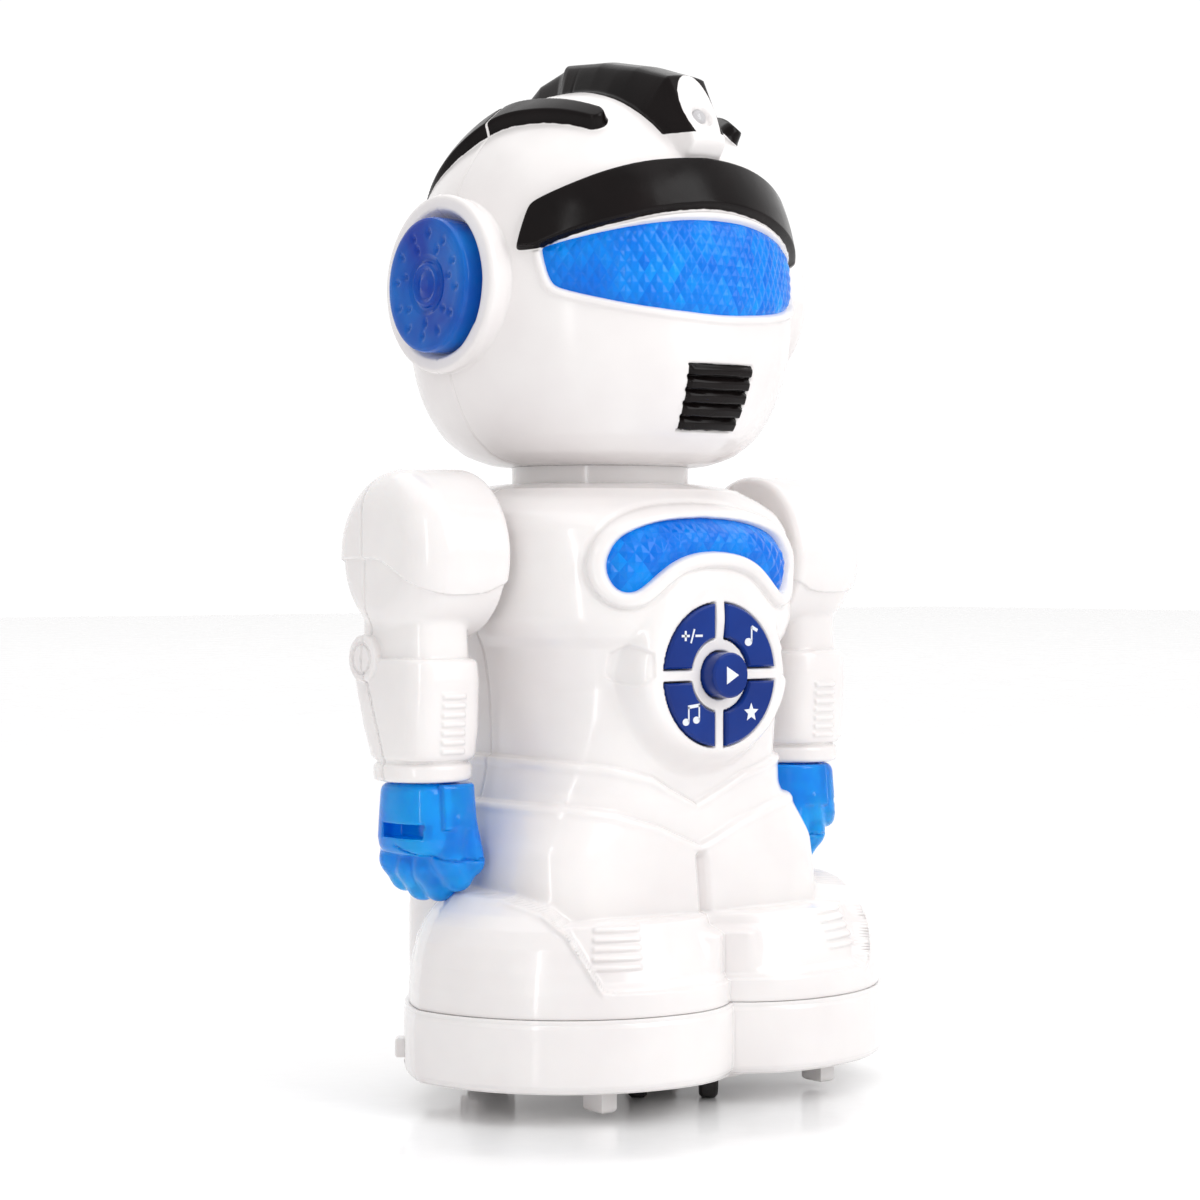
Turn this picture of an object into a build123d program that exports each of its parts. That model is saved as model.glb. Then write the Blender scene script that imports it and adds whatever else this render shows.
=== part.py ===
"""Battery toy robot, about 253 mm tall: shells, lenses, turning head, swinging arms, push buttons,
battery box and a turning drive unit under the base.  All lengths in mm, +Z up, the robot faces -Y."""
import os
from math import cos, pi, radians, sin
from build123d import *

# ---- driving dimensions -------------------------------------------------------------------------
CY = 5.75            # Y of the body's upright axis: the feet reach further forward than the back
WALL = 2.2           # wall of the moulded shells
CLEAR = 0.3          # gap beside anything that moves
FLOOR_GAP = 7.5      # underside of the base above the floor
SEAM_Z = 24.5        # top of the base pan, where the body shells begin
SHOULDER_Z = 130.3
SHOULDER_Y = CY - 4.0
ARM_X = 58.3         # middle of each arm
NECK_Z = 146.5       # flat top of the body
CHIN_Z = 152.4
HEAD_R = 47.5
EAR_Z = 195.0
RING_Z = 102.0       # centre of the ring of buttons
TURRET_Y = CY - 28.5
TURRET_ANGLE = -38.0
AXLE_Z = 8.0
ROLLER_R = 6.0
PEG_Y = CY - 43.5
BODY_SPLIT = SHOULDER_Y
HEAD_SPLIT = CY

# (height, half width, reach to the front, corner radius) of the body; it reaches 26 to the back
BODY_BACK = 26.0
BODY_LEVELS = [
    (24.6, 58.0, 55.0, 39.0), (36.0, 57.5, 54.5, 38.0), (43.5, 54.0, 51.0, 36.0),
    (48.2, 46.2, 45.0, 33.0), (61.0, 45.3, 39.0, 30.0), (71.0, 41.5, 37.0, 30.0),
    (78.0, 36.8, 38.5, 30.0), (92.0, 36.5, 43.5, 31.0), (106.0, 38.5, 45.0, 33.0),
    (115.0, 42.5, 46.0, 34.0), (131.0, 43.0, 45.5, 34.0), (140.0, 43.0, 40.0, 32.0),
    (NECK_Z, 32.0, 30.0, 26.0),
]
BODY_BOSSES = [(31.0, 97.5), (29.6, 138.6), (47.0, 35.0)]
HEAD_BOSSES = [(22.0, 170.0), (19.0, 224.0)]
BASE_BOSSES = [(34.0, CY - 50.0), (34.0, CY + 20.5)]
# half of the outline of the base as arcs: start, point on the arc, end
BASE_HALF = [((0, -51.0), (9.0, -56.8), (22, -59)), ((22, -59), (53.1, -46.1), (66, -15)),
             ((66, -15), (50, 10.5), (24, 24.5)), ((24, 24.5), (12, 27.2), (0, 28))]

PARTS = []


def keep(part, label):
    """Name a finished piece and remember it for export."""
    part.label = label
    PARTS.append((part, label))


def at_y(y):
    """A sketch plane facing forward at height-of-depth y; local axes are X and Z."""
    return Plane.XZ.offset(-y)


# ---- body shells --------------------------------------------------------------------------------
def body_hull(inset):
    """The body's smooth outer form, or its hollow when inset is the wall."""
    with BuildPart() as hull:
        for level, (z, half, front, corner) in enumerate(BODY_LEVELS):
            top = inset if level == len(BODY_LEVELS) - 1 else 0.0
            with BuildSketch(Plane.XY.offset(z - top)):
                with Locations((0, CY + (BODY_BACK - front) / 2)):
                    RectangleRounded(2 * (half - inset), BODY_BACK + front - 2 * inset, corner - inset)
        loft(ruled=True)
    return hull.part


def battery_hump(inset):
    """Box-shaped bulge on the back that takes the batteries."""
    with BuildPart() as hump:
        with BuildSketch(Plane.XY.offset(25.0 + inset)):
            with Locations((0, CY + 16.0)):
                Rectangle(58.0 - 2 * inset, 32.0)
        extrude(amount=68.0 - 2 * inset)
        if inset:
            with BuildSketch(Plane.XY.offset(20.0)):
                with Locations((0, CY + 32.0)):
                    Rectangle(80.0, 6.4)
            extrude(amount=80.0, mode=Mode.SUBTRACT)
    return hump.part


def lens_outline(grow):
    """Outline of the chest lens in X and Z: a wide bean with two hanging lobes."""
    upper = [(0, 139.5), (8, 139.2), (15, 138.3), (21, 136.6), (25.4, 134.2), (28.0, 130.5)]
    lower = [(28.3, 126.6), (26.8, 122.9), (24.6, 121.4), (22.0, 121.6), (19.4, 123.4), (16.5, 125.9),
             (13.0, 128.4), (9, 130.1), (4.5, 131.0), (0, 131.2)]
    edge = [(x * (1 + grow / 28), z + grow) for x, z in upper]
    edge += [(x * (1 + grow / 28), z - grow) for x, z in lower]
    with BuildSketch(at_y(CY - 60.0)) as bean:
        with BuildLine():
            Polyline(*edge)
            mirror(about=Plane.YZ)
        make_face()
    return bean.sketch


def button_outline(kind, grow):
    """Face outline of one button, drawn about the ring's centre."""
    with BuildSketch(at_y(CY - 60.0)) as face:
        with Locations((0, RING_Z)):
            if kind == "centre":
                Circle(5.4 + grow)
            else:
                Circle(17.0 + grow)
                Circle(9.0 - grow, mode=Mode.SUBTRACT)
                sx, sz = kind
                with Locations((sx * (21.7 - grow), sz * (21.7 - grow))):
                    Rectangle(40, 40, mode=Mode.INTERSECT)
    return face.sketch


BUTTONS = {
    "centre_button": "centre",
    "upper_right_button": (-1, 1),
    "upper_left_button": (1, 1),
    "lower_right_button": (-1, -1),
    "lower_left_button": (1, -1),
}


def body_shell():
    """Both body halves in one piece, before they are parted."""
    with BuildPart() as cavity:
        add(body_hull(WALL))
        add(battery_hump(WALL))
        # hollow runs out through the open bottom
        with BuildSketch(Plane.XY.offset(24.0)):
            with Locations((0, CY + (BODY_BACK - 55.0) / 2)):
                RectangleRounded(2 * (57.5 - WALL), 80.0 - 2 * WALL, 38.5 - WALL)
        extrude(amount=2.0)
        # screw posts from front wall to back wall
        with BuildSketch(at_y(CY + 40.0)):
            for x, z in BODY_BOSSES:
                with Locations((x, z), (-x, z)):
                    Circle(3.6)
        extrude(amount=100.0, mode=Mode.SUBTRACT)
        # posts that take the base screws
        with BuildSketch(Plane.XY.offset(24.0)):
            for x, y in BASE_BOSSES:
                with Locations((x, y), (-x, y)):
                    Circle(3.6)
        extrude(amount=12.0, mode=Mode.SUBTRACT)
        # posts behind the front wall for the circuit board
        with BuildSketch(at_y(CY - 32.2)):
            with Locations((-20.5, 83.5), (20.5, 83.5), (-20.5, 119.0), (20.5, 119.0)):
                Circle(2.6)
        extrude(amount=20.0, mode=Mode.SUBTRACT)
        # collar that seats the loudspeaker on the back wall
        with BuildSketch(at_y(CY + 30.0)):
            with Locations((0, 118.0)):
                Circle(20.2)
                Circle(18.3, mode=Mode.SUBTRACT)
        extrude(amount=13.0, mode=Mode.SUBTRACT)
        # boss that takes the battery door's screw
        with BuildSketch(at_y(CY + 40.0)):
            with Locations((0, 87.4)):
                Circle(3.0)
        extrude(amount=18.0, mode=Mode.SUBTRACT)
    with BuildPart() as shell:
        add(body_hull(0.0))
        add(battery_hump(0.0))
        add(cavity.part, mode=Mode.SUBTRACT)
        # neck hole
        with BuildSketch(Plane.XY.offset(NECK_Z - 4.0)):
            with Locations((0, CY)):
                Circle(22.0 + CLEAR)
        extrude(amount=6.0, mode=Mode.SUBTRACT)
        # shoulder holes, right through from side to side of the wall
        with BuildSketch(Plane.YZ.offset(-50.0)):
            with Locations((SHOULDER_Y, SHOULDER_Z)):
                Circle(8.0 + CLEAR)
        extrude(amount=14.5, mode=Mode.SUBTRACT)
        with BuildSketch(Plane.YZ.offset(35.5)):
            with Locations((SHOULDER_Y, SHOULDER_Z)):
                Circle(8.0 + CLEAR)
        extrude(amount=14.5, mode=Mode.SUBTRACT)
    return shell.part


def build_body(shell):
    pilots = base_pilots()
    with BuildPart() as front:
        add(shell)
        split(bisect_by=at_y(BODY_SPLIT), keep=Keep.TOP)
        # windows for the chest lens and the buttons
        add(extrude(lens_outline(0.12), amount=-34.0, mode=Mode.PRIVATE), mode=Mode.SUBTRACT)
        for kind in BUTTONS.values():
            add(extrude(button_outline(kind, CLEAR), amount=-26.0, mode=Mode.PRIVATE), mode=Mode.SUBTRACT)
        # blind pilot holes for the body and board screws
        with BuildSketch(at_y(BODY_SPLIT + 1.0)):
            for x, z in BODY_BOSSES:
                with Locations((x, z), (-x, z)):
                    Circle(1.3)
        extrude(amount=16.0, mode=Mode.SUBTRACT)
        with BuildSketch(at_y(CY - 32.0)):
            with Locations((-20.5, 83.5), (20.5, 83.5), (-20.5, 119.0), (20.5, 119.0)):
                Circle(0.95)
        extrude(amount=4.6, mode=Mode.SUBTRACT)
        add(pilots, mode=Mode.SUBTRACT)
    keep(front.part, "body_front_shell")

    with BuildPart() as back:
        add(shell)
        split(bisect_by=at_y(BODY_SPLIT), keep=Keep.BOTTOM)
        # clearance holes and counterbores for the body screws
        with BuildSketch(at_y(CY + 40.0)):
            for x, z in BODY_BOSSES:
                with Locations((x, z), (-x, z)):
                    Circle(1.7)
        extrude(amount=60.0, mode=Mode.SUBTRACT)
        with BuildSketch(at_y(CY + 40.0)):
            for x, z in BODY_BOSSES:
                with Locations((x, z), (-x, z)):
                    Circle(2.9)
        extrude(amount=34.0, mode=Mode.SUBTRACT)
        # battery opening with the door's rebate round it
        with BuildSketch(at_y(CY + 36.0)):
            with Locations((0, 56.25)):
                Rectangle(48.0, 54.5)
        extrude(amount=8.0, mode=Mode.SUBTRACT)
        with BuildSketch(at_y(CY + 36.0)):
            with Locations((0, 58.75)):
                RectangleRounded(51.6, 64.1, 2.0)
        extrude(amount=5.9, mode=Mode.SUBTRACT)
        with BuildSketch(at_y(CY + 36.0)):
            with Locations((0, 87.4)):
                Circle(1.05)
        extrude(amount=12.0, mode=Mode.SUBTRACT)
        # loudspeaker grille
        with BuildSketch(at_y(CY + 30.0)):
            with Locations((0, 118.0)):
                Circle(1.2)
                for radius, count in ((4.5, 6), (9.0, 12), (13.0, 18)):
                    with PolarLocations(radius, count):
                        Circle(1.2)
        extrude(amount=7.0, mode=Mode.SUBTRACT)
        add(pilots, mode=Mode.SUBTRACT)
    keep(back.part, "body_back_shell")


def base_pilots():
    """Pilot holes for the base screws, up into the body's posts."""
    with BuildPart() as holes:
        with BuildSketch(Plane.XY.offset(24.0)):
            for x, y in BASE_BOSSES:
                with Locations((x, y), (-x, y)):
                    Circle(1.3)
        extrude(amount=10.5)
    return holes.part


def screw_set(label, points, y_head, length, r_head=2.7, r_shank=1.25):
    """Pan-head screws driven forward, their head's flat at y_head, one solid each."""
    with BuildPart() as screws:
        with BuildSketch(at_y(y_head + 1.8)):
            with Locations(*points):
                Circle(r_head)
                RegularPolygon(1.0, 4, mode=Mode.SUBTRACT)
        extrude(amount=1.8)
        with BuildSketch(at_y(y_head + 0.6)):
            with Locations(*points):
                Circle(r_shank)
        extrude(amount=length + 0.6)
    keep(screws.part, label)


def both_sides(points):
    return [(side * x, z) for side in (-1, 1) for x, z in points]


def build_chest_lens():
    with BuildPart() as lens:
        add(body_hull(0.5))
        add(body_hull(2.0), mode=Mode.SUBTRACT)
        add(extrude(lens_outline(0.0), amount=-34.0, mode=Mode.PRIVATE), mode=Mode.INTERSECT)
    keep(lens.part, "chest_lens")
    # tray behind the lens with three lamps, clipped to the front shell's posts
    with BuildPart() as lamps:
        with BuildSketch(at_y(CY - 27.0)):
            with Locations((0, 131.0)):
                RectangleRounded(44.0, 16.0, 3.0)
        extrude(amount=1.6)
        with BuildSketch(at_y(CY - 28.6)):
            with Locations((-14, 131.0), (0, 133.0), (14, 131.0)):
                Circle(2.5)
        extrude(amount=5.0)
    keep(lamps.part, "chest_lamp_board")


def build_buttons():
    for label, kind in BUTTONS.items():
        proud = CY - 50.6 if kind == "centre" else CY - 47.0
        with BuildPart() as button:
            with BuildSketch(at_y(CY - 36.2)):
                with Locations((0, RING_Z)):
                    draw_button(kind, 0.0)
            extrude(amount=CY - 36.2 - proud)
            # flange behind the wall that stops the button falling out
            with BuildSketch(at_y(CY - 35.2)):
                with Locations((0, RING_Z)):
                    draw_button(kind, 0.75)
            extrude(amount=1.1)
            outer = button.faces().sort_by(Axis.Y)[0]
            chamfer(outer.edges(), 0.45)
        keep(button.part, label)


def draw_button(kind, grow):
    if kind == "centre":
        Circle(5.4 + grow)
        return
    Circle(17.0 + grow)
    Circle(9.0 - grow, mode=Mode.SUBTRACT)
    sx, sz = kind
    with Locations((sx * (21.7 - grow), sz * (21.7 - grow))):
        Rectangle(40, 40, mode=Mode.INTERSECT)


def build_electronics():
    # soft pad whose domes push the buttons back out
    with BuildPart() as pad:
        with BuildSketch(at_y(CY - 32.2)):
            with Locations((0, RING_Z)):
                Circle(17.8)
        extrude(amount=0.9)
        with BuildSketch(at_y(CY - 33.1)):
            with Locations((0, RING_Z)):
                Circle(1.6)
                with PolarLocations(13.0, 4, start_angle=45):
                    Circle(1.8)
        extrude(amount=0.4)
    keep(pad.part, "button_pad")
    with BuildPart() as board:
        with BuildSketch(at_y(CY - 30.6)):
            with Locations((0, 101.25)):
                Rectangle(48.0, 42.0)
            with Locations((-20.5, 83.5), (20.5, 83.5), (-20.5, 119.0), (20.5, 119.0)):
                Circle(1.1, mode=Mode.SUBTRACT)
        extrude(amount=1.6)
        # sound chip, capacitor and wire socket on the back
        with BuildSketch(at_y(CY - 28.6)):
            with Locations((-6, 106)):
                Rectangle(12, 12)
        extrude(amount=2.0)
        with BuildSketch(at_y(CY - 24.6)):
            with Locations((12, 92)):
                Circle(3)
        extrude(amount=6.0)
        with BuildSketch(at_y(CY - 25.6)):
            with Locations((-8, 87)):
                Rectangle(14, 5)
        extrude(amount=5.0)
    keep(board.part, "main_board")
    screw_set("board_screws", both_sides([(20.5, 83.5), (20.5, 119.0)]), CY - 30.55, 5.6, 1.9, 0.9)
    with BuildPart() as speaker:
        with BuildSketch(at_y(CY + 21.6)):
            with Locations((0, 118.0)):
                Circle(18.0)
        extrude(amount=3.2)
        with BuildSketch(at_y(CY + 18.4)):
            with Locations((0, 118.0)):
                Circle(16.0)
        extrude(amount=4.0, taper=30)
        with BuildSketch(at_y(CY + 14.4)):
            with Locations((0, 118.0)):
                Circle(10.5)
        extrude(amount=6.0)
    keep(speaker.part, "loudspeaker")


# ---- battery box --------------------------------------------------------------------------------
CELLS = [(-15.6, 1), (0.0, -1), (15.6, 1)]      # X of each cell and which way its button end points


def build_battery_box():
    with BuildPart() as box:
        with BuildSketch(Plane.XY.offset(27.4)):
            with Locations((0, CY + 17.4)):
                Rectangle(53.0, 22.6)
        extrude(amount=56.8)
        with BuildSketch(Plane.XY.offset(28.9)):
            with Locations((0, CY + 19.4)):
                Rectangle(50.0, 23.4)
        extrude(amount=54.4, mode=Mode.SUBTRACT)
        # ribs between the cells
        with BuildSketch(Plane.XY.offset(28.9)):
            with Locations((-7.8, CY + 9.6), (7.8, CY + 9.6)):
                Rectangle(1.0, 5.6)
        extrude(amount=54.4)
    keep(box.part, "battery_box")
    with BuildPart() as cells:
        for x, up in CELLS:
            with BuildSketch(Plane.XY.offset(31.4 if up > 0 else 32.4)):
                with Locations((x, CY + 15.3)):
                    Circle(7.1)
            extrude(amount=49.4)
            with BuildSketch(Plane.XY.offset(80.8 if up > 0 else 31.4)):
                with Locations((x, CY + 15.3)):
                    Circle(2.7)
            extrude(amount=1.0)
    keep(cells.part, "batteries")
    with BuildPart() as contacts:
        for x, up in CELLS:
            # flat plate at the button end, coil cone at the flat end
            flat_z = 82.1 if up > 0 else 30.5
            with BuildSketch(Plane.XY.offset(flat_z)):
                with Locations((x, CY + 15.3)):
                    Rectangle(10, 10)
            extrude(amount=0.6)
            coil_z = 29.4 if up > 0 else 82.0
            with BuildSketch(Plane.XY.offset(coil_z)):
                with Locations((x, CY + 15.3)):
                    Circle(4.6)
                    Circle(3.0, mode=Mode.SUBTRACT)
            extrude(amount=1.0)
    keep(contacts.part, "battery_contacts")
    with BuildPart() as door:
        with BuildSketch(at_y(CY + 32.0)):
            with Locations((0, 58.75)):
                RectangleRounded(51.0, 63.5, 1.8)
        extrude(amount=1.8)
        with BuildSketch(at_y(CY + 36.0)):
            with Locations((0, 87.4)):
                Circle(1.5)
        extrude(amount=8.0, mode=Mode.SUBTRACT)
        # grip ridges and screw recess
        with BuildSketch(at_y(CY + 32.6)):
            with GridLocations(0, 3.0, 1, 4):
                with Locations((0, 36.0)):
                    SlotOverall(20.0, 1.4)
        extrude(amount=0.8)
        # foam strips that hold the cells in place
        with BuildSketch(at_y(CY + 30.2)):
            with Locations((0, 45.0), (0, 68.0)):
                Rectangle(40.0, 3.0)
        extrude(amount=1.0)
    keep(door.part, "battery_door")
    with BuildPart() as screw:
        with BuildSketch(at_y(CY + 33.4)):
            with Locations((0, 87.4)):
                Circle(2.4)
                RegularPolygon(1.0, 4, mode=Mode.SUBTRACT)
        extrude(amount=1.35)
        with BuildSketch(at_y(CY + 32.4)):
            with Locations((0, 87.4)):
                Circle(1.0)
        extrude(amount=7.4)
    keep(screw.part, "door_screw")


# ---- base ---------------------------------------------------------------------------------------
def base_outline(inset):
    """Outline of the base, drawn in towards its middle by inset."""
    with BuildSketch(Plane.XY) as outline:
        with BuildLine():
            for arc in BASE_HALF:
                ThreePointArc(*[(x * (1 - inset / 66), CY - 15.5 + (y + 15.5) * (1 - inset / 43.5))
                                for x, y in arc])
            mirror(about=Plane.YZ)
        make_face()
    return outline.sketch


SWITCH_T = Vector(0.6157, 0.788, 0)
SWITCH_N = Vector(-0.788, 0.6157, 0)
SWITCH_AT = Vector(-56.4, CY + 5.0, 12.9)


def switch_plane(out):
    """Plane lying on the base's rear right side wall, moved outwards by out."""
    return Plane(origin=SWITCH_AT + SWITCH_N * out, x_dir=SWITCH_T, z_dir=SWITCH_N)


def build_base():
    with BuildPart() as pan:
        for step, (inset, bottom) in enumerate(((1.3, 0.0), (0.6, 0.5), (0.0, 1.3))):
            with BuildSketch(Plane.XY.offset(FLOOR_GAP + bottom)):
                add(base_outline(inset))
            extrude(amount=(SEAM_Z - FLOOR_GAP - bottom) if step == 2 else 1.0)
        with BuildSketch(Plane.XY.offset(FLOOR_GAP + WALL)):
            add(base_outline(WALL))
        extrude(amount=20.0, mode=Mode.SUBTRACT)
        # screw tubes and the posts that carry the gearbox
        with BuildSketch(Plane.XY.offset(FLOOR_GAP + 1.0)):
            for x, y in BASE_BOSSES:
                with Locations((x, y), (-x, y)):
                    Circle(4.4)
        extrude(amount=SEAM_Z - FLOOR_GAP - 1.0)
        with BuildSketch(Plane.XY.offset(FLOOR_GAP + 1.0)):
            with Locations((-25.4, TURRET_Y), (25.4, TURRET_Y)):
                Circle(4.2)
        extrude(amount=13.4)
        # anti-tip pegs under the toes
        with BuildSketch(Plane.XY.offset(1.4)):
            with Locations((-34.0, PEG_Y), (34.0, PEG_Y)):
                Rectangle(4.4, 7.0)
        extrude(amount=7.0)
        fillet(pan.faces().sort_by(Axis.Z)[:2].edges(), 1.2)
        # lugs under the base beside the rear rollers
        with BuildSketch(Plane.XY.offset(3.4)):
            for x in (-26.0, 26.0):
                with Locations((x - 4.6, CY + 12.0), (x + 4.6, CY + 12.0)):
                    Rectangle(2.4, 7.0)
        extrude(amount=6.0)
        for x, y in BASE_BOSSES:
            with BuildSketch(Plane.XY.offset(FLOOR_GAP)):
                with Locations((x, y), (-x, y)):
                    Circle(1.7)
            extrude(amount=30.0, mode=Mode.SUBTRACT)
            with BuildSketch(Plane.XY.offset(FLOOR_GAP)):
                with Locations((x, y), (-x, y)):
                    Circle(3.1)
            extrude(amount=5.0, mode=Mode.SUBTRACT)
        with BuildSketch(Plane.XY.offset(FLOOR_GAP)):
            with Locations((-25.4, TURRET_Y), (25.4, TURRET_Y)):
                Circle(1.6)
        extrude(amount=16.0, mode=Mode.SUBTRACT)
        with BuildSketch(Plane.XY.offset(FLOOR_GAP)):
            with Locations((-25.4, TURRET_Y), (25.4, TURRET_Y)):
                Circle(3.1)
        extrude(amount=5.0, mode=Mode.SUBTRACT)
        # round opening for the drive turret, slots for the rollers, window for the switch
        with BuildSketch(Plane.XY.offset(FLOOR_GAP - 1.0)):
            with Locations((0, TURRET_Y)):
                Circle(20.0)
            with Locations((-26.0, CY + 12.0), (26.0, CY + 12.0)):
                Rectangle(6.8, 13.0)
        extrude(amount=4.0, mode=Mode.SUBTRACT)
        with BuildSketch(Plane.YZ.offset(-33.0)):
            with Locations((CY + 12.0, ROLLER_R)):
                Circle(1.04)
        extrude(amount=66.0, mode=Mode.SUBTRACT)
        with BuildSketch(switch_plane(-5.0)):
            Rectangle(9.0, 5.1)
        extrude(amount=10.0, mode=Mode.SUBTRACT)
    keep(pan.part, "base_pan")

    with BuildPart() as screws:
        for x, y in BASE_BOSSES:
            with BuildSketch(Plane.XY.offset(10.6)):
                with Locations((x, y), (-x, y)):
                    Circle(2.7)
                    RegularPolygon(1.0, 4, mode=Mode.SUBTRACT)
            extrude(amount=1.85)
            with BuildSketch(Plane.XY.offset(11.8)):
                with Locations((x, y), (-x, y)):
                    Circle(1.25)
            extrude(amount=21.0)
    keep(screws.part, "base_screws")

    with BuildPart() as knob:
        with BuildSketch(switch_plane(-4.6)):
            with Locations((-2.0, 0)):
                Rectangle(4.4, 4.5)
        extrude(amount=6.0)
        chamfer(knob.faces().sort_by(Axis(SWITCH_AT, SWITCH_N))[-1].edges(), 0.4)
    keep(knob.part, "power_switch_knob")
    with BuildPart() as block:
        with BuildSketch(switch_plane(-9.6)):
            Rectangle(15.0, 6.2)
        extrude(amount=4.9)
    keep(block.part, "power_switch_body")


def build_rollers():
    for label, x in (("rear_roller_right", -26.0), ("rear_roller_left", 26.0)):
        with BuildPart() as roller:
            with BuildSketch(Plane.YZ.offset(x - 2.9)):
                with Locations((CY + 12.0, ROLLER_R)):
                    Circle(ROLLER_R)
                    Circle(1.05, mode=Mode.SUBTRACT)
            extrude(amount=5.8)
            chamfer(roller.faces().filter_by(Axis.X).edges().filter_by(
                lambda edge: edge.length > 20), 0.5)
        keep(roller.part, label)
    with BuildPart() as pins:
        for x in (-26.0, 26.0):
            with BuildSketch(Plane.YZ.offset(x - 5.6)):
                with Locations((CY + 12.0, ROLLER_R)):
                    Circle(1.0)
            extrude(amount=11.2)
    keep(pins.part, "roller_pins")


# ---- drive unit: a turret that can turn right round and carries the two driven wheels ------------
TURN = radians(TURRET_ANGLE)
AXLE_DIR = Vector(cos(TURN), sin(TURN), 0)
AHEAD = Vector(sin(TURN), -cos(TURN), 0)
AXLE_MID = Vector(0, TURRET_Y, AXLE_Z) + AHEAD * 6.0


def turret_plane(z):
    """Horizontal plane at height z, centred on the turret and turned with it."""
    return Plane(origin=(0, TURRET_Y, z), x_dir=AXLE_DIR, z_dir=(0, 0, 1))


def axle_plane(t):
    """Plane square to the wheel axle, t along it from its middle."""
    return Plane(origin=AXLE_MID + AXLE_DIR * t, x_dir=(0, 0, 1), z_dir=AXLE_DIR)


def build_drive():
    with BuildPart() as turret:
        with BuildSketch(turret_plane(6.3)):
            Circle(19.6)
        extrude(amount=14.5)
        with BuildSketch(turret_plane(20.8)):
            Circle(6.95)
        extrude(amount=3.5)
        with BuildSketch(turret_plane(24.3)):
            Circle(5.0)
        extrude(amount=3.0)
        # wells for the wheels and a bore for their axle
        with BuildSketch(turret_plane(5.0)):
            with Locations((-8.5, -6.0), (8.5, -6.0)):
                Rectangle(5.4, 17.4)
        extrude(amount=12.4, mode=Mode.SUBTRACT)
        with BuildSketch(axle_plane(-22.0)):
            Circle(1.55)
        extrude(amount=44.0, mode=Mode.SUBTRACT)
    keep(turret.part, "drive_turret")
    with BuildPart() as retainer:
        with BuildSketch(turret_plane(24.35)):
            Circle(9.0)
            Circle(5.03, mode=Mode.SUBTRACT)
        extrude(amount=1.5)
    keep(retainer.part, "turret_retainer")
    with BuildPart() as axle:
        with BuildSketch(axle_plane(-17.0)):
            Circle(1.5)
        extrude(amount=34.0)
    keep(axle.part, "drive_axle")
    with BuildPart() as hubs:
        for t in (-10.7, 6.3):
            with BuildSketch(axle_plane(t)):
                Circle(5.0)
                Circle(1.52, mode=Mode.SUBTRACT)
            extrude(amount=4.4)
    keep(hubs.part, "drive_wheel_hubs")
    with BuildPart() as tyres:
        for t in (-10.7, 6.3):
            with BuildSketch(axle_plane(t)):
                Circle(AXLE_Z)
                Circle(5.02, mode=Mode.SUBTRACT)
            extrude(amount=4.4)
        rims = tyres.edges().filter_by(lambda edge: edge.length > 45)
        chamfer(rims, 0.7)
    keep(tyres.part, "drive_tyres")

    with BuildPart() as housing:
        with BuildSketch(Plane.XY.offset(22.0)):
            with Locations((0, TURRET_Y)):
                RectangleRounded(59.6, 36.0, 4.0)
        extrude(amount=18.0)
        with BuildSketch(Plane.XY.offset(24.0)):
            with Locations((0, TURRET_Y)):
                RectangleRounded(55.6, 32.0, 2.5)
        extrude(amount=14.0, mode=Mode.SUBTRACT)
        with BuildSketch(Plane.XY.offset(23.0)):
            with Locations((-25.4, TURRET_Y), (25.4, TURRET_Y)):
                Circle(3.0)
        extrude(amount=16.0)
        with BuildSketch(Plane.XY.offset(21.0)):
            with Locations((-25.4, TURRET_Y), (25.4, TURRET_Y)):
                Circle(1.3)
        extrude(amount=11.0, mode=Mode.SUBTRACT)
        with BuildSketch(Plane.XY.offset(21.0)):
            with Locations((0, TURRET_Y)):
                Circle(7.0)
        extrude(amount=5.0, mode=Mode.SUBTRACT)
        with BuildSketch(Plane.XY.offset(36.0)):
            with Locations((0, TURRET_Y + 6.0)):
                Circle(2.0)
        extrude(amount=6.0, mode=Mode.SUBTRACT)
    keep(housing.part, "gearbox_housing")
    with BuildPart() as screws:
        points = [(-25.4, TURRET_Y), (25.4, TURRET_Y)]
        with BuildSketch(Plane.XY.offset(10.6)):
            with Locations(*points):
                Circle(2.7)
                RegularPolygon(1.0, 4, mode=Mode.SUBTRACT)
        extrude(amount=1.85)
        with BuildSketch(Plane.XY.offset(11.8)):
            with Locations(*points):
                Circle(1.25)
        extrude(amount=18.0)
    keep(screws.part, "gearbox_screws")
    with BuildPart() as motor:
        with BuildSketch(Plane.XY.offset(40.1)):
            with Locations((0, TURRET_Y + 6.0)):
                Circle(10.0)
                Rectangle(30.0, 15.0, mode=Mode.INTERSECT)
        extrude(amount=25.0)
        with BuildSketch(Plane.XY.offset(65.1)):
            with Locations((0, TURRET_Y + 6.0)):
                Circle(3.0)
        extrude(amount=1.6)
        with BuildSketch(Plane.XY.offset(30.0)):
            with Locations((0, TURRET_Y + 6.0)):
                Circle(1.0)
        extrude(amount=10.5)
    keep(motor.part, "drive_motor")


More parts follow.
